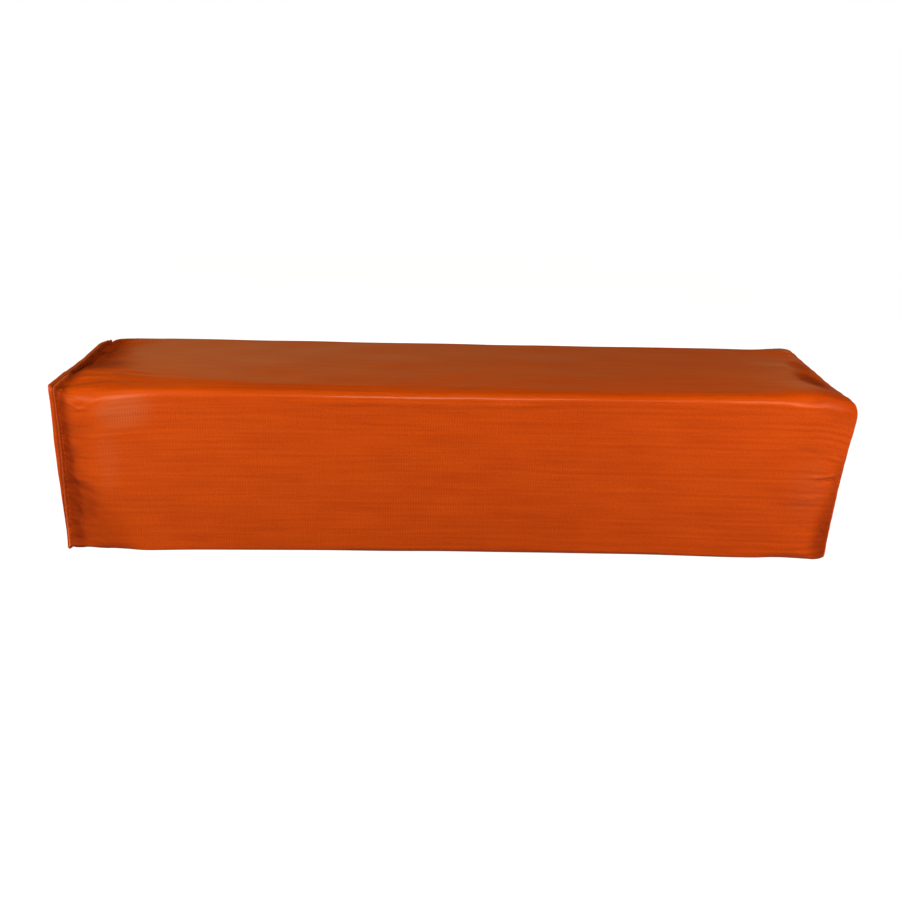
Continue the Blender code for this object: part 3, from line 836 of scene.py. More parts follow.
def faces_outwards(mesh):
    """Above 0 where an open tube's faces point away from its middle line."""
    normals = read_all(mesh.polygons, "normal", 3)
    middles = read_all(mesh.polygons, "center", 3) - (0, 0, HALF * SETTLE_SCALE)
    return float((normals[:, 1:] * middles[:, 1:]).sum())


SETTLED = (settle_end(STITCH_LINE, 1), settle_end(FOLD_START, -1))


# %% Read the simulated rows at any point
def between_points(values, position):
    """Values at fractional positions along the first axis, by a smooth curve through four."""
    low = np.clip(np.floor(position).astype(int), 0, len(values) - 2)
    t = (position - low)[:, None]
    a, b, c, d = (values[np.clip(low + step, 0, len(values) - 1)] for step in (-1, 0, 1, 2))
    return b + 0.5 * t * (c - a + t * (2 * a - 5 * b + 4 * c - d + t * (3 * (b - c) + d - a)))


def settled_at(along, ring):
    """The wrinkles' lift at these distances along, for each point of the ring."""
    along = as_row(along)
    total = np.zeros((len(along), ring.count))
    if SETTLED is None:
        return total
    for rows, distance in zip(SETTLED, (along - STITCH_LINE, FOLD_START - along)):
        position = np.clip(distance / SETTLE_STEPS[1], 0, len(rows) - 1)
        read = between_points(rows, position)
        wrapped = np.concatenate([read.T[-1:], read.T, read.T[:2]])
        turned = between_points(wrapped, 1 + np.arange(ring.count) * SETTLE_RING.count / ring.count).T
        total += turned * soft_step(distance / 4)[:, None]
    return total


# %% [markdown]
# The sleeve
#
# One sheet of cloth goes round the four long sides. At the base its cut edge stands on the rim,
# 3 mm short of the base panel's edge, and at the top it turns in over itself as a hem. The
# chain of loops below follows it from the cut edge up the outside, round the fold, down and up
# the hem, and back down the inside.

# %% Build the sleeve
FOLD_STEPS = 4
FOLD_FLAT = 0.6


def spaced(start, *spans):
    """Distances from start up to, but not at, the last end. A span is its end and its spacing."""
    distances = []
    for end, size in spans:
        count = max(1, round((end - start) / size))
        distances += list(np.linspace(start, end, count, endpoint=False))
        start = end
    return distances


class Chain:
    """Loops in order, with each one's place on the flat cloth."""

    def __init__(self):
        self.loops, self.maps, self.shades = [], [], []

    def add(self, points, flat, shade=0.0):
        self.loops.append(points)
        self.maps.append(flat)
        self.shades.append(shade)

    def cover(self, stations, ring, inset, flat_offset=0.0, flat_sign=1):
        """Loops of the cover's cloth at this inset."""
        finished = cloth(stations, ring, inset, settled_at(stations, ring))
        for along, points in zip(stations, finished):
            flat = np.full(ring.count, flat_offset + flat_sign * along)
            self.add(points, np.stack([flat, ring.run], 1), painted_shade_and_sheen(along, ring))


INNER_STATIONS = (
    (spaced(CUT_EDGE, (STITCH_LINE, 1), (30, 2.3), (85, 5.5)), RINGS[MEDIUM]),
    (spaced(85, (400, 18)), RINGS[COARSE]),
    (spaced(400, (436, 5), (FOLD_START, 2.4)) + [FOLD_START], RINGS[MEDIUM]),
)


def build_sleeve():
    chain = Chain()
    fine, medium = RINGS[FINE], RINGS[MEDIUM]
    chain.cover(spaced(CUT_EDGE, (10, 0.45), (20, 0.9)), fine, 0)
    chain.cover(spaced(20, (60, 1.9), (400, 6.5), (436, 1.9)), medium, 0)
    chain.cover(spaced(436, (448, 1.2), (FOLD_START, 0.6)), fine, 0)
    settled = settled_at(FOLD_START, fine)
    for step in range(FOLD_STEPS + 1):
        angle = math.pi * step / FOLD_STEPS
        rise, inset = FOLD_RADIUS * math.sin(angle), FOLD_RADIUS * (1 - math.cos(angle))
        points = cloth(FOLD_START, fine, inset, settled)[0] + (rise, 0, 0)
        flat = np.full(fine.count, FOLD_START + step * FOLD_FLAT)
        chain.add(points, np.stack([flat, fine.run], 1))
    hem = [HEM_END, 449.5, 451, 452.5, 453.8]
    turned = 2 * FOLD_START + FOLD_STEPS * FOLD_FLAT
    chain.cover(hem[::-1], medium, 2 * FOLD_RADIUS, turned, -1)
    hem_cut_edge = len(chain.loops) - 1
    chain.cover(hem + [FOLD_START], medium, SHEET + GAP, turned, -1)
    for stations, ring in reversed(INNER_STATIONS):
        chain.cover(stations[::-1], ring, SHEET)
    return sheet_mesh("sleeve_cloth", chain.loops, chain.maps, VINYL, wrap=AROUND,
                      pale_cut_edges=(0, 1, len(chain.loops) - 1, hem_cut_edge, hem_cut_edge + 1), shades=chain.shades)


sleeve = build_sleeve()
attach(sleeve, "root")
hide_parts("cover_sleeve")

# %% [markdown]
# The base panel
#
# The square base is a second sheet. Its edges are turned outwards all round, and stand up
# inside the sleeve's cut edge as the rim, so from the front it shows as the outer strip of the
# rim. Its middle is pressed out a little by the foam, and puckers run in from the seam.

# %% What the two end panels share
QUARTER_TURN = 1.57


def bend_loops(bend_start, foot_inset, radius, steps):
    """Loops round the bend from a panel's wall to its foot, each with its inset and its ring."""
    fine = RINGS[FINE]
    settled = settled_at(bend_start, fine)
    for step in range(1, steps + 1):
        angle = math.pi / 2 * step / steps
        points = cloth(bend_start, fine, foot_inset - radius * math.cos(angle), settled)[0]
        inset = foot_inset - radius * (QUARTER_TURN - angle)
        yield points + (radius * math.sin(angle), 0, 0), inset, fine


def dish_loops(bend_start, foot_inset, foot, shares, ear_fade, height):
    """Loops from a panel's foot to its middle. height gives a loop's place on X."""
    ears = foot[:, 0] - (bend_start - LENGTH / 2)
    middle = np.array([0, 0, HALF])
    for count, group in shares:
        ring, outer, lean = RINGS[count], foot[::FINE // count], ears[::FINE // count]
        for share in group:
            from_foot = (1 - share) * (HALF - foot_inset)
            points = middle + (outer - middle) * share
            points[:, 0] = height(share, from_foot, ring) + lean * math.exp(-from_foot / ear_fade)
            yield points, foot_inset + from_foot, ring


def add_skin(chain, loops, foot_inset, shades, outwards):
    """Adds one face of a panel to its chain, with each loop's place on the flat cloth."""
    for (points, inset, ring), shade in list(zip(loops, shades))[::1 if outwards else -1]:
        turned = ring.side * math.pi / 2 + ring.turn
        out = np.stack([np.cos(turned), np.sin(turned)], 1)
        chain.add(points, points[:, 1:] + out * max(foot_inset - inset, 0), shade)


def build_panel(name, skin, depths):
    """A panel from its two faces, which meet at its cut edge."""
    chain = Chain()
    skin(chain, depths[0], outwards=False)
    edge = len(chain.loops) - 1
    skin(chain, depths[1], outwards=True)
    return sheet_mesh(name, chain.loops, chain.maps, VINYL, closed=False, pale_cut_edges=(edge, edge + 1),
                      shades=chain.shades)


# %% Build the base panel
BASE_WALL = (0, 0.6, 1.4, 2.2, 3.0, 3.8, 4.4, 4.9)
BASE_DISH = (
    (FINE, (0.99, 0.98, 0.965, 0.95)), (MEDIUM, (0.93, 0.905, 0.88)),
    (COARSE, (0.85, 0.8, 0.72)), (COARSEST, (0.6, 0.45, 0.3, 0.15, 0.03)),
)


def base_skin(chain, depth, outwards):
    """One face of the base panel. depth is 0 for the face towards the foam."""
    foot_inset = SHEET + GAP + BASE_BEND + SHEET
    bend_start = RECESS - BASE_BEND
    back = RECESS + SHEET - depth
    radius = BASE_BEND + SHEET - depth
    fine = RINGS[FINE]
    loops, shades = [], []
    for along in (*BASE_WALL, bend_start):
        points = cloth(along, fine, SHEET + GAP + depth, settled_at(along, fine))[0]
        inset = foot_inset - (bend_start - along) - radius * QUARTER_TURN
        loops.append((points, inset, fine))
        # painted shade: a painted shadow 3 mm along, in the corner beside the sleeve's cut edge, and the
        # wall a little darker everywhere
        shades.append(0.2 + 0.8 * math.exp(-(((along - 3.0) / 0.9) ** 2)))

    def height(share, from_foot, ring):
        crown = BASE_CROWN * soft_step(from_foot / BASE_CROWN_SLOPE) + 0.5 * (1 - share**2)
        pucker = 0.22 * waves_round(ring.around, 12, 44, 11) * np.exp(-from_foot / 7)
        return back - LENGTH / 2 - crown + pucker

    loops += bend_loops(bend_start, foot_inset, radius, 3)
    foot = cloth(bend_start, fine, foot_inset, 0)[0]
    loops += dish_loops(bend_start, foot_inset, foot, BASE_DISH, 8, height)
    # the panel's face is painted a little darker all over
    shades += [0.3] * (len(loops) - len(shades))
    add_skin(chain, loops, foot_inset, shades, outwards)


base_panel = build_panel("base_panel_cloth", base_skin, (SHEET, 0))
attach(base_panel, "root")
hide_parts("cover_base_panel")

# %% [markdown]
# The top panel
#
# The square top is sewn inside out and turned, so its seam is hidden. Its hem goes in between
# the sleeve's hem and the foam. The foam makes it crown, and the turned seam makes it pucker.

# %% Build the top panel
TOP_DISH = (
    (FINE, (0.99, 0.975, 0.96, 0.94)), (MEDIUM, (0.91, 0.88, 0.84)),
    (COARSE, (0.79, 0.72, 0.62)), (COARSEST, (0.5, 0.38, 0.25, 0.12, 0.03)),
)


def top_skin(chain, depth, outwards):
    """One face of the top panel. depth is 0 for the face that shows."""
    wall_inset = 2 * FOLD_RADIUS + GAP
    radius = TOP_BEND + SHEET - depth
    foot_inset = wall_inset + TOP_BEND + SHEET
    bend_start = TOP_EDGE - TOP_BEND - SHEET
    fine, medium = RINGS[FINE], RINGS[MEDIUM]
    loops = []
    for along, ring in ((HEM_END, medium), (450, medium), (452, medium), (bend_start, fine)):
        points = cloth(along, ring, wall_inset + depth, settled_at(along, ring))[0]
        inset = foot_inset + bend_start - along - radius * QUARTER_TURN
        loops.append((points, inset, ring))

    def height(share, from_foot, ring):
        crown = TOP_CROWN * (1 - share**2) - 0.25 * math.exp(-from_foot / 3)
        near_foot = 1 - math.exp(-from_foot / 0.8)
        short = 0.30 * waves_round(ring.around, 10, 40, 12) * math.exp(-from_foot / 8) * near_foot
        long = 0.2 * waves_round(ring.around, 3, 10, 13) * soft_step(from_foot / 6) * share**2
        return TOP_EDGE - depth - LENGTH / 2 + crown + (short + long)

    loops += bend_loops(bend_start, foot_inset, radius, 4)
    foot = cloth(bend_start, fine, foot_inset, settled_at(bend_start, fine))[0]
    loops += dish_loops(bend_start, foot_inset, foot, TOP_DISH, 15, height)
    add_skin(chain, loops, foot_inset, [0.0] * len(loops), outwards)


top_panel = build_panel("top_panel_cloth", top_skin, (0, SHEET))
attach(top_panel, "root")
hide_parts("cover_top_panel")

# %% [markdown]
# The seam along the back lower edge
#
# The sleeve's two long edges meet at the back lower edge of the pylon. They are sewn inside out,
# so from outside there is only a shallow valley, and inside there are two layers of cloth that
# stand in a groove of the foam. Each layer here is a strip with a wavy cut edge.

# %% Build the side seam's allowance
ALLOWANCE_SPAN = (19.2, 439.9)
ALLOWANCE_REACH = (6.2, -1.5)
ALLOWANCE_WIDTH = 8
ALLOWANCE_ROWS = 240
SIDE_STITCH_REACH = 1.97
CORNER_CENTRE = (HALF - EDGE_RADIUS, EDGE_RADIUS)


def on_diagonal(along, reach, side):
    """A point near the back lower edge: reach goes outwards along that corner's diagonal."""
    y = CORNER_CENTRE[0] + (reach + side) / math.sqrt(2)
    z = CORNER_CENTRE[1] + (side - reach) / math.sqrt(2)
    return np.stack([along - LENGTH / 2 + 0 * y, y, z], -1)


def build_allowance(name, side, seed):
    """One of the two layers: side is 1 or -1."""
    along = np.linspace(*ALLOWANCE_SPAN, ALLOWANCE_ROWS)
    down = np.linspace(0, 1, 9)
    wave = waves_round(along * AROUND / LENGTH, 4, 30, seed)[:, None]
    outer, inner = ALLOWANCE_REACH
    reach = outer + (inner - outer) * down + 0.12 * wave * down**2
    free = np.clip((SIDE_STITCH_REACH - reach) / 3.5, 0, 1)
    middle = 0.33 + 0.25 * free * (1 + 0.5 * wave)
    loops, maps = [], []
    across = np.concatenate([down, down[::-1]])
    for row, place_along in enumerate(along):
        near, far = side * (middle[row] - SHEET / 2), side * (middle[row] + SHEET / 2)
        reaches = np.concatenate([reach[row], reach[row][::-1]])
        sides = np.concatenate([near, far[::-1]])
        loops.append(on_diagonal(place_along, reaches, sides))
        flat = np.full(len(across), place_along)
        maps.append(np.stack([flat, AROUND + across * ALLOWANCE_WIDTH * side], 1))
    return sheet_mesh(name, loops, maps, VINYL, closed=False)


allowance = [
    build_allowance("side_allowance_upper", 1, 21),
    build_allowance("side_allowance_lower", -1, 22),
]
for layer in allowance:
    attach(layer, "root")

# %% [markdown]
# The foam
#
# The pylon's body is one block of grey open-cell foam. The foam's skin follows the cloth, one
# gap inside it, so no fold of the cover can cut through it. A square pocket in its base end
# takes the sand bag, and a groove along one edge takes the side seam.

# %% Foam's finish
def make_foam_finish():
    finish = Finish("grey_foam", roughness=0.95, level=0.2)
    spot = finish.place()
    cells, pores = finish.cells(spot, 900.0), finish.cells(spot, 260.0)
    cloud = finish.noise(spot, 25.0, 3.0)
    tone = (cells * 0.6 + pores * 0.25 + cloud * 0.35).clamped()
    finish.colour(tone, (0.17, 0.175, 0.19), (0.38, 0.39, 0.41))
    finish.bump(cells * 0.7 + pores * 0.5, 0.4 * MM)
    return finish.material


# %% Build the foam
FOAM_START = RECESS + SHEET + GAP
FOAM_INSET = SHEET + GAP
FOAM_STEP = HEM_END - GAP
FOAM_END = TOP_EDGE - SHEET - GAP
FOAM_END_INSET = 2 * FOLD_RADIUS + GAP + SHEET + 2 * THREAD + 2 * GAP
FOAM_ROUND = 2.0
FOAM_WALL = 12
POCKET_DEPTH = 60
POCKET_ROWS = 12
POCKET_HALF = HALF - FOAM_INSET - FOAM_WALL
POCKET_RADIUS = 10.0
POCKET_FLOOR = FOAM_START + POCKET_DEPTH
GROOVE_HALF = SHEET + 2 * THREAD + 2 * GAP
GROOVE_FLOOR = -1.83
# point of the edge's arc, share of the groove's half width, and depth, or None at its lips
GROOVE = ((4, -1.0, None), (5, -0.92, GROOVE_FLOOR), (6, 0, GROOVE_FLOOR), (7, 0.92, GROOVE_FLOOR),
          (8, 1.0, None))


def centre_loops(chain, outer, height, shares):
    """Loops that close a flat end: the outer loop drawn in, with fewer points near the middle."""
    middle = np.array([outer[:, 0].mean(), 0, HALF])
    for share, points_left in shares:
        points = middle + (outer[::MEDIUM // points_left] - middle) * share
        points[:, 0] = outer[:, 0].mean() + height(share)
        chain.add(points, points[:, 1:])


def add_groove(points, along):
    """Moves the points of a foam loop near the back lower edge into the groove."""
    first = MEDIUM - round(MEDIUM / 4 * ARC_SHARE)
    for step, side, reach in GROOVE:
        y, z = points[first + step][1:] - CORNER_CENTRE
        if reach is None:
            reach = (y - z) / math.sqrt(2)
        points[first + step] = on_diagonal(along, reach, side * GROOVE_HALF)
    return points


def foam_loop(chain, along, inset, shift=0.0):
    ring = RINGS[MEDIUM]
    points = cloth(along, ring, inset, settled_at(along, ring))[0]
    points = add_groove(points, along) + (shift, 0, 0)
    chain.add(points, np.stack([np.full(ring.count, along), ring.run], 1))


def build_foam():
    chain = Chain()
    ring = RINGS[MEDIUM]
    floor = plain_square(POCKET_FLOOR, POCKET_HALF, POCKET_RADIUS, ring)
    centre_loops(chain, floor, lambda share: 0.2 * (1 - share),
                 ((0.04, COARSEST), (0.5, COARSE), (0.97, MEDIUM)))
    for along in np.linspace(POCKET_FLOOR - 0.8, FOAM_START + 1, POCKET_ROWS):
        chain.add(plain_square(along, POCKET_HALF, POCKET_RADIUS, ring), floor[:, 1:])
    base_x = FOAM_START - BASE_CROWN - LENGTH / 2
    pocket_edge = plain_square(FOAM_START - BASE_CROWN + 0.3, POCKET_HALF + 0.2, POCKET_RADIUS, ring)
    chain.add(pocket_edge, pocket_edge[:, 1:])
    foot = add_groove(cloth(FOAM_START, ring, FOAM_INSET + BASE_BEND + SHEET)[0], FOAM_START)
    for share in (0.2, 0.5, 0.8, 1.0):
        points = pocket_edge + (foot - pocket_edge) * share
        points[:, 0] = base_x + BASE_CROWN * soft_step((share - 0.5) * 2)
        chain.add(points, points[:, 1:])
    inner = [along for stations, _ in INNER_STATIONS for along in stations]
    inner = [along for along in inner if FOAM_START + 1.5 < along < FOAM_STEP]
    for along in (FOAM_START + 1.2, *inner, FOAM_STEP):
        foam_loop(chain, along, FOAM_INSET)
    for along in (FOAM_STEP, 450, FOAM_END - FOAM_ROUND):
        foam_loop(chain, along, FOAM_END_INSET)
    for angle in (math.pi / 6, math.pi / 3, math.pi / 2):
        inset = FOAM_END_INSET + FOAM_ROUND * (1 - math.cos(angle))
        foam_loop(chain, FOAM_END - FOAM_ROUND, inset, FOAM_ROUND * math.sin(angle))
    centre_loops(chain, chain.loops[-1], lambda share: TOP_CROWN * (1 - share**2),
                 ((0.93, MEDIUM), (0.8, COARSE), (0.6, COARSE), (0.35, COARSEST), (0.04, COARSEST)))
    return sheet_mesh("foam_block", chain.loops, chain.maps, make_foam_finish(), closed=False)


foam = build_foam()
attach(foam, "root")
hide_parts("foam_core")

# %% [markdown]
# The sand bag
#
# The weight is sand in a canvas bag, pushed into the foam's pocket. The bag is nearly full, so
# it takes the square shape of its pocket, and it is gathered into pleats at its neck, where a
# cable tie closes it. The pleats come from one wave round the neck that fades into the body.

# %% Canvas, sand and tie finishes
CANVAS_PITCH = 0.8 * MM
TEETH_PITCH = 0.9 * MM
GRAIN_SCALE = 1600.0


def make_canvas():
    finish = Finish("bag_canvas", roughness=0.9, level=0.2)
    spot = finish.place()
    x, y, z = spot.parts()
    weave = x.wave(CANVAS_PITCH) * (y + z).wave(CANVAS_PITCH)
    slubs = finish.noise(spot, (900, 90, 90))
    stain = finish.noise(spot, 30.0, 3.0)
    tone = (weave * 0.2 + slubs * 0.5 + stain * 0.4).clamped()
    finish.colour(tone, (0.36, 0.31, 0.22), (0.66, 0.60, 0.48))
    finish.bump(weave * 0.5 + slubs, 0.2 * MM)
    return finish.material


def make_sand_finish():
    finish = Finish("dry_sand", roughness=0.9, level=0.3)
    spot = finish.place()
    grey = finish.cells(spot, GRAIN_SCALE, output=1).parts()[0]
    finish.colour(grey.clamped(), (0.34, 0.23, 0.13), (0.74, 0.62, 0.44))
    finish.bump(finish.cells(spot, GRAIN_SCALE), 0.6 * MM)
    return finish.material


def make_nylon():
    finish = Finish("black_nylon", roughness=0.4, level=0.5)
    spot = finish.place()
    scuffs = finish.noise(spot, 220.0, 3.0)
    finish.colour(scuffs, (0.012, 0.012, 0.013), (0.035, 0.035, 0.037))
    finish.wire("Roughness", 0.32 + scuffs * 0.25)
    finish.bump(spot.parts()[1].wave(TEETH_PITCH), 0.08 * MM)
    return finish.material


# %% Build the bag and its sand
NECK_START = FOAM_START + 6
NECK_END = NECK_START + 4
BAG_FULL = POCKET_HALF - GAP
BAG_CORNER = POCKET_RADIUS - GAP
BAG_SHEET = 0.5
BAG_FLOOR = POCKET_FLOOR - GAP
PLEATS = 28
BAG_END = ((0.9, MEDIUM), (0.7, COARSE), (0.45, COARSE), (0.2, COARSEST), (0.04, COARSEST))
# along, half the width, corner radius, depth of the pleats
BAG_FORM = (
    (FOAM_START, 9.0, 7.6, 1.3),
    (FOAM_START + 2.5, 7.3, 6.2, 1.2),
    (FOAM_START + 4.6, 5.5, 4.7, 0.8),
    (NECK_START, 5.0, 4.2, 0.6),
    (NECK_START + 2, 4.9, 4.1, 0.6),
    (NECK_END, 5.0, 4.2, 0.6),
    (NECK_END + 1.6, 8.5, 6.5, 0.9),
    (NECK_END + 3.6, 18.0, 8.5, 1.4),
    (NECK_END + 6, 29.0, 9.6, 1.5),
    (NECK_END + 8.5, 34.8, 9.7, 1.2),
    (NECK_END + 12, 37.3, BAG_CORNER, 0.7),
    (NECK_END + 18, BAG_FULL, BAG_CORNER, 0.4),
    (NECK_END + 30, BAG_FULL, BAG_CORNER, 0.25),
    (BAG_FLOOR - 8, BAG_FULL, BAG_CORNER, 0.25),
    (BAG_FLOOR - 4, BAG_FULL, BAG_CORNER, 0.2),
    (BAG_FLOOR - 1.2, BAG_FULL - 1.2, BAG_CORNER, 0.1),
    (BAG_FLOOR, BAG_FULL - 4, BAG_CORNER, 0.0),
)


def bag_loop(chain, row, inset, ring):
    along, half, radius, pleat = row
    folds = np.cos(2 * math.pi * PLEATS * ring.run / AROUND + 0.6 * waves_round(ring.around, 2, 9, 31))
    rumple = 0.5 + 0.5 * np.clip(waves_round(ring.around + 6 * along, 5, 22, 32), -1, 1)
    near_neck = math.exp(-max(along - NECK_END - 4, 0) / 6)
    sink = pleat * ((0.5 - 0.5 * folds) * near_neck + rumple * (1 - near_neck))
    points = plain_square(along, half, radius, ring, -sink - inset)
    chain.add(points, points[:, 1:])


def bag_skin(inset, rows):
    chain = Chain()
    for row in rows:
        along = row[0] - (inset if row[0] > BAG_FLOOR - 3 else 0)
        bag_loop(chain, (along, *row[1:]), inset, RINGS[MEDIUM])
    centre_loops(chain, chain.loops[-1], lambda share: -0.4 * math.sin(math.pi * share), BAG_END)
    return chain


def finer(rows, pieces):
    """The rows of a table with evenly spaced rows between them, by a smooth curve."""
    table = np.array(rows, float)
    places = table[:, 0]
    between = [np.linspace(a, b, pieces, endpoint=False) for a, b in zip(places, places[1:])]
    wanted = np.append(np.concatenate(between), places[-1])
    columns = [smooth_through(table[:, 0], column, wanted) for column in table.T[1:]]
    return [tuple(row) for row in np.stack([wanted, *columns], 1)]


def build_bag():
    rows = finer(BAG_FORM, 3)
    outside, inside = bag_skin(0, rows), bag_skin(BAG_SHEET, rows)
    loops, maps = outside.loops[::-1] + inside.loops, outside.maps[::-1] + inside.maps
    return sheet_mesh("sand_bag_canvas", loops, maps, make_canvas(), closed=False)


def build_sand():
    inset = BAG_SHEET + GAP
    top = NECK_END + 6
    rows = [row for row in finer(BAG_FORM, 3) if row[0] > top]
    chain = bag_skin(inset, rows)
    head = Chain()
    centre_loops(head, chain.loops[0], lambda share: -1.6 * (1 - share**2) + 0.5 * math.sin(9 * share),
                 BAG_END[::-1])
    loops, maps = head.loops + chain.loops, head.maps + chain.maps
    return sheet_mesh("sand_fill", loops, maps, make_sand_finish(), closed=False)


bag = build_bag()
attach(bag, "root")
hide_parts("sand_bag")
sand = build_sand()
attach(sand, "root")
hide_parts("ballast_sand")
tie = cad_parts["sand_bag_tie"]
tie.data.materials.clear()
tie.data.materials.append(make_nylon())

# %% [markdown]
# The stitches
#
# All four seams are lockstitch, so one shape repeats: a short length of thread that rises out of
# one hole, lies on the cloth and goes down the next. A Geometry Nodes tree sets that shape on
# points, and turns it by two directions that each point carries. Modelling each stitch by hand
# would be hundreds of copies; here a seam is a row of points, and a change of thread is one
# number.

# %% The tree of nodes that sets the stitches
def make_stitch_tree():
    tree = bpy.data.node_groups.new("stitch_row", "GeometryNodeTree")
    tree.is_modifier = True
    names = {}
    for name, kind in (("Points", "Geometry"), ("Stitch length", "Float"), ("Thread radius", "Float"),
                       ("Rise", "Float"), ("Sink", "Float"), ("Seed", "Int"), ("Thread", "Material")):
        socket = tree.interface.new_socket(name, in_out="INPUT", socket_type=f"NodeSocket{kind}")
        names[name] = socket.identifier
    tree.interface.new_socket("Stitches", in_out="OUTPUT", socket_type="NodeSocketGeometry")
    source = tree.nodes.new("NodeGroupInput")
    given = {name: Wire(tree, source.outputs[name]) for name in names}

    def spot(x, z):
        return add_node(tree, "ShaderNodeCombineXYZ", inputs={0: x, 2: z})

    end, bottom = given["Stitch length"] * 0.5, given["Sink"] * -1.0
    start = end * -1.0
    line = add_node(tree, "GeometryNodeCurvePrimitiveBezierSegment", {"mode": "POSITION"}, {
        "Resolution": 8, "Start": spot(start, bottom), "Start Handle": spot(start, given["Rise"]),
        "End Handle": spot(end, given["Rise"]), "End": spot(end, bottom)})
    round_thread = add_node(tree, "GeometryNodeCurvePrimitiveCircle", inputs={
        "Resolution": 8, "Radius": given["Thread radius"]})
    stitch = add_node(tree, "GeometryNodeCurveToMesh", inputs={
        "Curve": line, "Profile Curve": round_thread, "Fill Caps": True})

    def direction(name):
        kind = {"data_type": "FLOAT_VECTOR"}
        return add_node(tree, "GeometryNodeInputNamedAttribute", kind, {"Name": name})

    turn = add_node(tree, "FunctionNodeAxesToRotation", {"primary_axis": "Z", "secondary_axis": "X"}, {
        0: direction("outwards"), 1: direction("heading")})
    size = add_node(tree, "FunctionNodeRandomValue", {"data_type": "FLOAT"}, {
        "Min": 0.92, "Max": 1.06, "Seed": given["Seed"]}, 1)
    placed = add_node(tree, "GeometryNodeInstanceOnPoints", inputs={
        "Points": given["Points"], "Instance": stitch, "Rotation": turn, "Scale": size})
    solid = add_node(tree, "GeometryNodeRealizeInstances", inputs={"Geometry": placed})
    finished = add_node(tree, "GeometryNodeSetMaterial", inputs={
        "Geometry": solid, "Material": given["Thread"]})
    add_node(tree, "NodeGroupOutput", inputs={"Stitches": finished})
    return tree, names


STITCH_TREE, STITCH_INPUTS = make_stitch_tree()
STITCH_LENGTH = 2.75
PLY_PITCH = 0.4 * MM


def make_thread_finish():
    finish = Finish("orange_thread", roughness=0.6, level=0.3)
    spot = finish.place()
    x, y, z = spot.parts()
    plies = (x * 0.8 + y + z).wave(PLY_PITCH)
    fuzz = finish.noise(spot, 1800.0)
    tone = (plies * 0.2 + fuzz * 0.6 + 0.1).clamped()
    finish.colour(tone, (0.38, 0.042, 0.003), (0.58, 0.078, 0.008))
    finish.bump(plies, 0.06 * MM)
    return finish.material


THREAD_FINISH = make_thread_finish()


# %% Set the stitches of the four seams
def stitch_row(name, node, seam, rise, sink, seed):
    """A seam's stitches at its points in mm, as a plain mesh that stands for the CAD thread."""
    points, headings, outwards = seam
    mesh = new_mesh(name + "_points", points * MM)
    for label, vectors in (("heading", headings), ("outwards", outwards)):
        data = mesh.attributes.new(label, "FLOAT_VECTOR", "POINT").data
        data.foreach_set("vector", np.ascontiguousarray(vectors, np.float32).ravel())
    made = new_object(name, mesh)
    modifier = made.modifiers.new("stitches", "NODES")
    modifier.node_group = STITCH_TREE
    values = {"Stitch length": STITCH_LENGTH * MM, "Thread radius": THREAD * MM, "Rise": rise * MM,
              "Sink": sink * MM, "Seed": seed, "Thread": THREAD_FINISH}
    for label, value in values.items():
        modifier[STITCH_INPUTS[label]] = value
    bpy.context.view_layer.update()
    seen = made.evaluated_get(bpy.context.evaluated_depsgraph_get())
    finished = bpy.data.meshes.new_from_object(seen)
    made.modifiers.clear()
    made.data = finished
    finished.name = name
    finished.shade_smooth()
    if signed_volume(finished) < 0:
        finished.flip_normals()
    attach(made, "root")
    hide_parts(node)
    print(f"{name}: {len(points)} stitches, {len(finished.polygons)} faces")


def seam_round(along, inset, inwards=False):
    """Points, headings and outward directions of a seam round the cover, one for each stitch."""
    ring = RINGS[FINE]
    settled = settled_at(along, ring)
    near = cloth(along, ring, inset, settled)[0]
    out = cloth(along, ring, inset - 1, settled)[0] - near

    def at(values, runs):
        return np.stack([np.interp(runs, ring.run, column, period=AROUND) for column in values.T], 1)

    runs = np.arange(STITCHES) * STITCH_PITCH
    hole, next_hole = at(near, runs - STITCH_PITCH / 2), at(near, runs + STITCH_PITCH / 2)
    middle, heading, out = (next_hole + hole) / 2, next_hole - hole, at(out, runs)
    heading /= np.linalg.norm(heading, axis=1)[:, None]
    out /= np.linalg.norm(out, axis=1)[:, None]
    return middle, heading, -out if inwards else out


def seam_lengthwise():
    """Points and directions of the seam beside the sleeve's allowance."""
    along = np.arange(ALLOWANCE_SPAN[0] + 2, ALLOWANCE_SPAN[1] - 2, STITCH_PITCH)
    points = on_diagonal(along, np.full(len(along), SIDE_STITCH_REACH), np.full(len(along), 0.68))
    heading = np.tile((1.0, 0, 0), (len(along), 1))
    out = np.tile((0, math.sqrt(0.5), math.sqrt(0.5)), (len(along), 1))
    return points, heading, out


outer_seam = seam_round(STITCH_LINE, 0.0)
inner_seam = seam_round(STITCH_LINE, 2 * SHEET + GAP, inwards=True)
top_seam = seam_round(TOP_STITCHES, 2 * FOLD_RADIUS + GAP + SHEET, inwards=True)
stitch_row("base_stitches_outside", "base_seam_needle_thread", outer_seam, 0.5, 0.35, 41)
stitch_row("base_stitches_inside", "base_seam_bobbin_thread", inner_seam, 0.5, 0.3, 42)
stitch_row("top_stitches", "top_seam_thread", top_seam, 0.45, 0.3, 43)
stitch_row("side_stitches", "side_seam_thread", seam_lengthwise(), 0.45, 0.3, 44)

# %% [markdown]
# The camera
#
# The camera's place was solved from the object's outline in the photograph, taking its length
# as 457.2 mm. The picture was cropped off centre, so the camera has a small shift.

# %% Place the camera
PICTURE = 900
SENSOR = 36


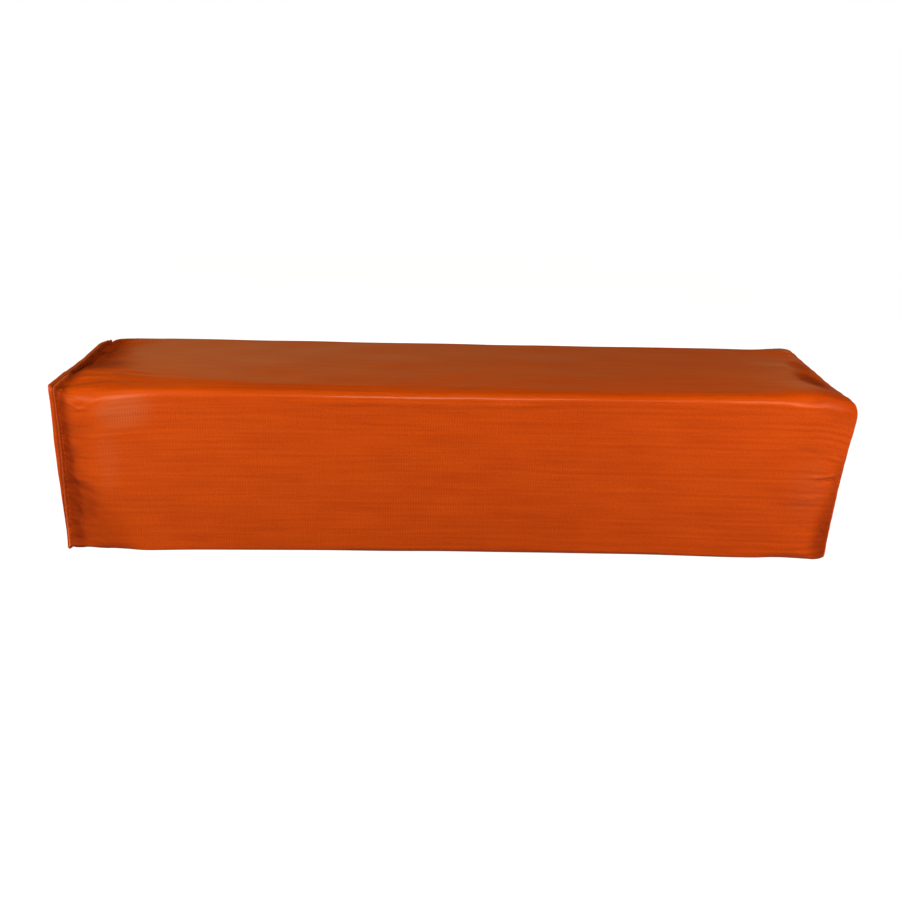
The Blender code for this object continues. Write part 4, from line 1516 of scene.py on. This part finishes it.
def aim_camera(azimuth, elevation, roll, distance, target, focal, centre):
    """A camera that looks at the target (mm) from these angles (degrees), with sizes in pixels."""
    a, e, r = (math.radians(angle) for angle in (azimuth, elevation, roll))
    back = Vector((math.sin(a) * math.cos(e), -math.cos(a) * math.cos(e), math.sin(e)))
    right = Vector((math.cos(a), math.sin(a), 0))
    up = back.cross(right)
    turned_right = right * math.cos(r) + up * math.sin(r)
    turned_up = up * math.cos(r) - right * math.sin(r)
    lens = bpy.data.cameras.new("camera")
    lens.sensor_width = SENSOR
    lens.lens = focal / PICTURE * SENSOR
    lens.shift_x, lens.shift_y = 0.5 - centre[0] / PICTURE, centre[1] / PICTURE - 0.5
    lens.clip_start, lens.clip_end = 0.01, 50
    made = new_object("camera", lens)
    spot = (Vector(target) + back * distance) * MM
    turn = Matrix((turned_right, turned_up, back)).transposed().to_4x4()
    made.matrix_world = Matrix.Translation(spot) @ turn
    SCENE.camera = made
    return made


camera = aim_camera(azimuth=-1.17, elevation=22.66, roll=1.44, distance=542.85,
                    target=(-20.9, 0, 70.11), focal=865.62, centre=(417.7, 414.79))
print("camera at", [round(v, 3) for v in camera.matrix_world.translation])

# %% [markdown]
# Light and floor
#
# Two soft boxes stand low in front, so the front is the brightest side and the top, which they
# graze, is about half as bright. One lamp above and one low behind light the other sides. Three
# narrow strips only make highlights: these show how the front upper edge turns. The camera sees
# none of the lamps. The world is yellow and bright low behind the object, where the top mirrors
# it. The floor and the backdrop are white where the camera sees them, and the floor keeps the
# object's shadow.

# %% Floor, world and lamps
WARM, YELLOW = (1.0, 0.82, 0.56), (1.0, 0.91, 0.66)
# name, place, target, size, power, colour, and whether it only makes highlights
LAMPS = (
    ("softbox_left", (-0.40, -0.40, 0.32), (-0.12, 0, 0.05), (0.20, 0.20), 2.5, YELLOW, False),
    ("softbox_right", (0.42, -0.40, 0.32), (0.14, 0, 0.05), (0.20, 0.20), 2.65, WARM, False),
    ("lamp_above", (-0.05, 0.10, 0.95), (0, 0, 0.05), (0.30, 0.10), 0.95, YELLOW, False),
    ("lamp_behind", (0.05, 0.60, 0.06), (0, 0, 0.05), (0.50, 0.08), 4.0, YELLOW, False),
    ("strip_left", (-0.46, -0.80, 0.60), (-0.15, 0, 0.09), (0.10, 0.10), 0.13, YELLOW, True),
    ("strip_middle", (0.03, -0.80, 0.60), (0, 0, 0.09), (0.28, 0.06), 3.0, YELLOW, True),
    ("strip_right", (0.59, -0.80, 0.60), (0.2, 0, 0.09), (0.12, 0.20), 0.8, YELLOW, True),
)


def add_lamp(name, spot, target, size, power, colour, glints):
    """An area lamp that either lights the surfaces or only shines on them as a highlight."""
    data = bpy.data.lights.new(name, "AREA")
    data.shape, data.size, data.size_y, data.energy = "RECTANGLE", size[0], size[1], power
    data.color = colour
    lamp = new_object(name, data)
    turn = (Vector(target) - Vector(spot)).to_track_quat("-Z", "Y")
    lamp.matrix_world = Matrix.Translation(spot) @ turn.to_matrix().to_4x4()
    lamp.visible_glossy, lamp.visible_diffuse, lamp.visible_camera = glints, not glints, False


def light_path(tree, output):
    return add_node(tree, "ShaderNodeLightPath", output=output)


def seen_directly(tree):
    """1 for rays from the camera, also through glass."""
    return light_path(tree, "Is Camera Ray") + light_path(tree, "Is Transmission Ray")


def make_floor():
    finish = bpy.data.materials.new("pale_floor")
    finish.use_nodes = True
    tree = finish.node_tree
    tree.nodes.clear()
    matt = add_node(tree, "ShaderNodeBsdfDiffuse", inputs={"Color": (0.2, 0.2, 0.2)})
    spot = add_node(tree, "ShaderNodeTexCoord", output=3)
    away = add_node(tree, "ShaderNodeVectorMath", {"operation": "LENGTH"}, {0: spot}, 1)
    # the seen white is 5 % dimmer near the object, rising to full white 1.2 m away: a painted shade
    # round it
    level = 0.95 + away.between(0.25, 1.2) * 0.05
    white = add_node(tree, "ShaderNodeEmission", inputs={"Color": (1, 1, 1), "Strength": level})
    dark = add_node(tree, "ShaderNodeEmission", inputs={"Color": (0, 0, 0), "Strength": 0.0})
    seen = (seen_directly(tree) + light_path(tree, "Is Glossy Ray") * 0.12).clamped()
    glow = add_node(tree, "ShaderNodeMixShader", inputs={0: seen, 1: dark, 2: white})
    both = add_node(tree, "ShaderNodeAddShader", inputs={0: matt, 1: glow})
    add_node(tree, "ShaderNodeOutputMaterial", inputs={"Surface": both})
    corners = np.array([(-30, -10, 0), (30, -10, 0), (30, 60, 0), (-30, 60, 0)])
    mesh = new_mesh("floor", corners, [(0, 1, 2, 3)])
    mesh.materials.append(finish)
    floor = new_object("floor", mesh)


def make_world():
    world = bpy.data.worlds.new("studio")
    world.use_nodes = True
    tree = world.node_tree
    tree.nodes.clear()
    x, y, z = add_node(tree, "ShaderNodeTexCoord", output=0).parts()
    low = 1.0 - z.between(0.46, 0.60)
    middle = x.between(-0.38, -0.27) * (1.0 - x.between(0.46, 0.56))
    sideways = 0.125 - x * 0.22 + x.between(0.36, 0.42) * 0.10
    level = 0.05 + low * middle * y.between(0.55, 0.80) * sideways * (3.4 - z * 7.0)
    light = add_node(tree, "ShaderNodeBackground", inputs={
        "Color": (1.0, 0.93, 0.37), "Strength": level})
    white = add_node(tree, "ShaderNodeBackground", inputs={"Color": (1, 1, 1), "Strength": 1.0})
    seen = seen_directly(tree).clamped()
    both = add_node(tree, "ShaderNodeMixShader", inputs={0: seen, 1: light, 2: white})
    add_node(tree, "ShaderNodeOutputWorld", inputs={"Surface": both})
    SCENE.world = world


make_floor()
make_world()
for lamp in LAMPS:
    add_lamp(*lamp)
print(f"{len(LAMPS)} lamps")
SCENE.view_settings.view_transform = "Standard"
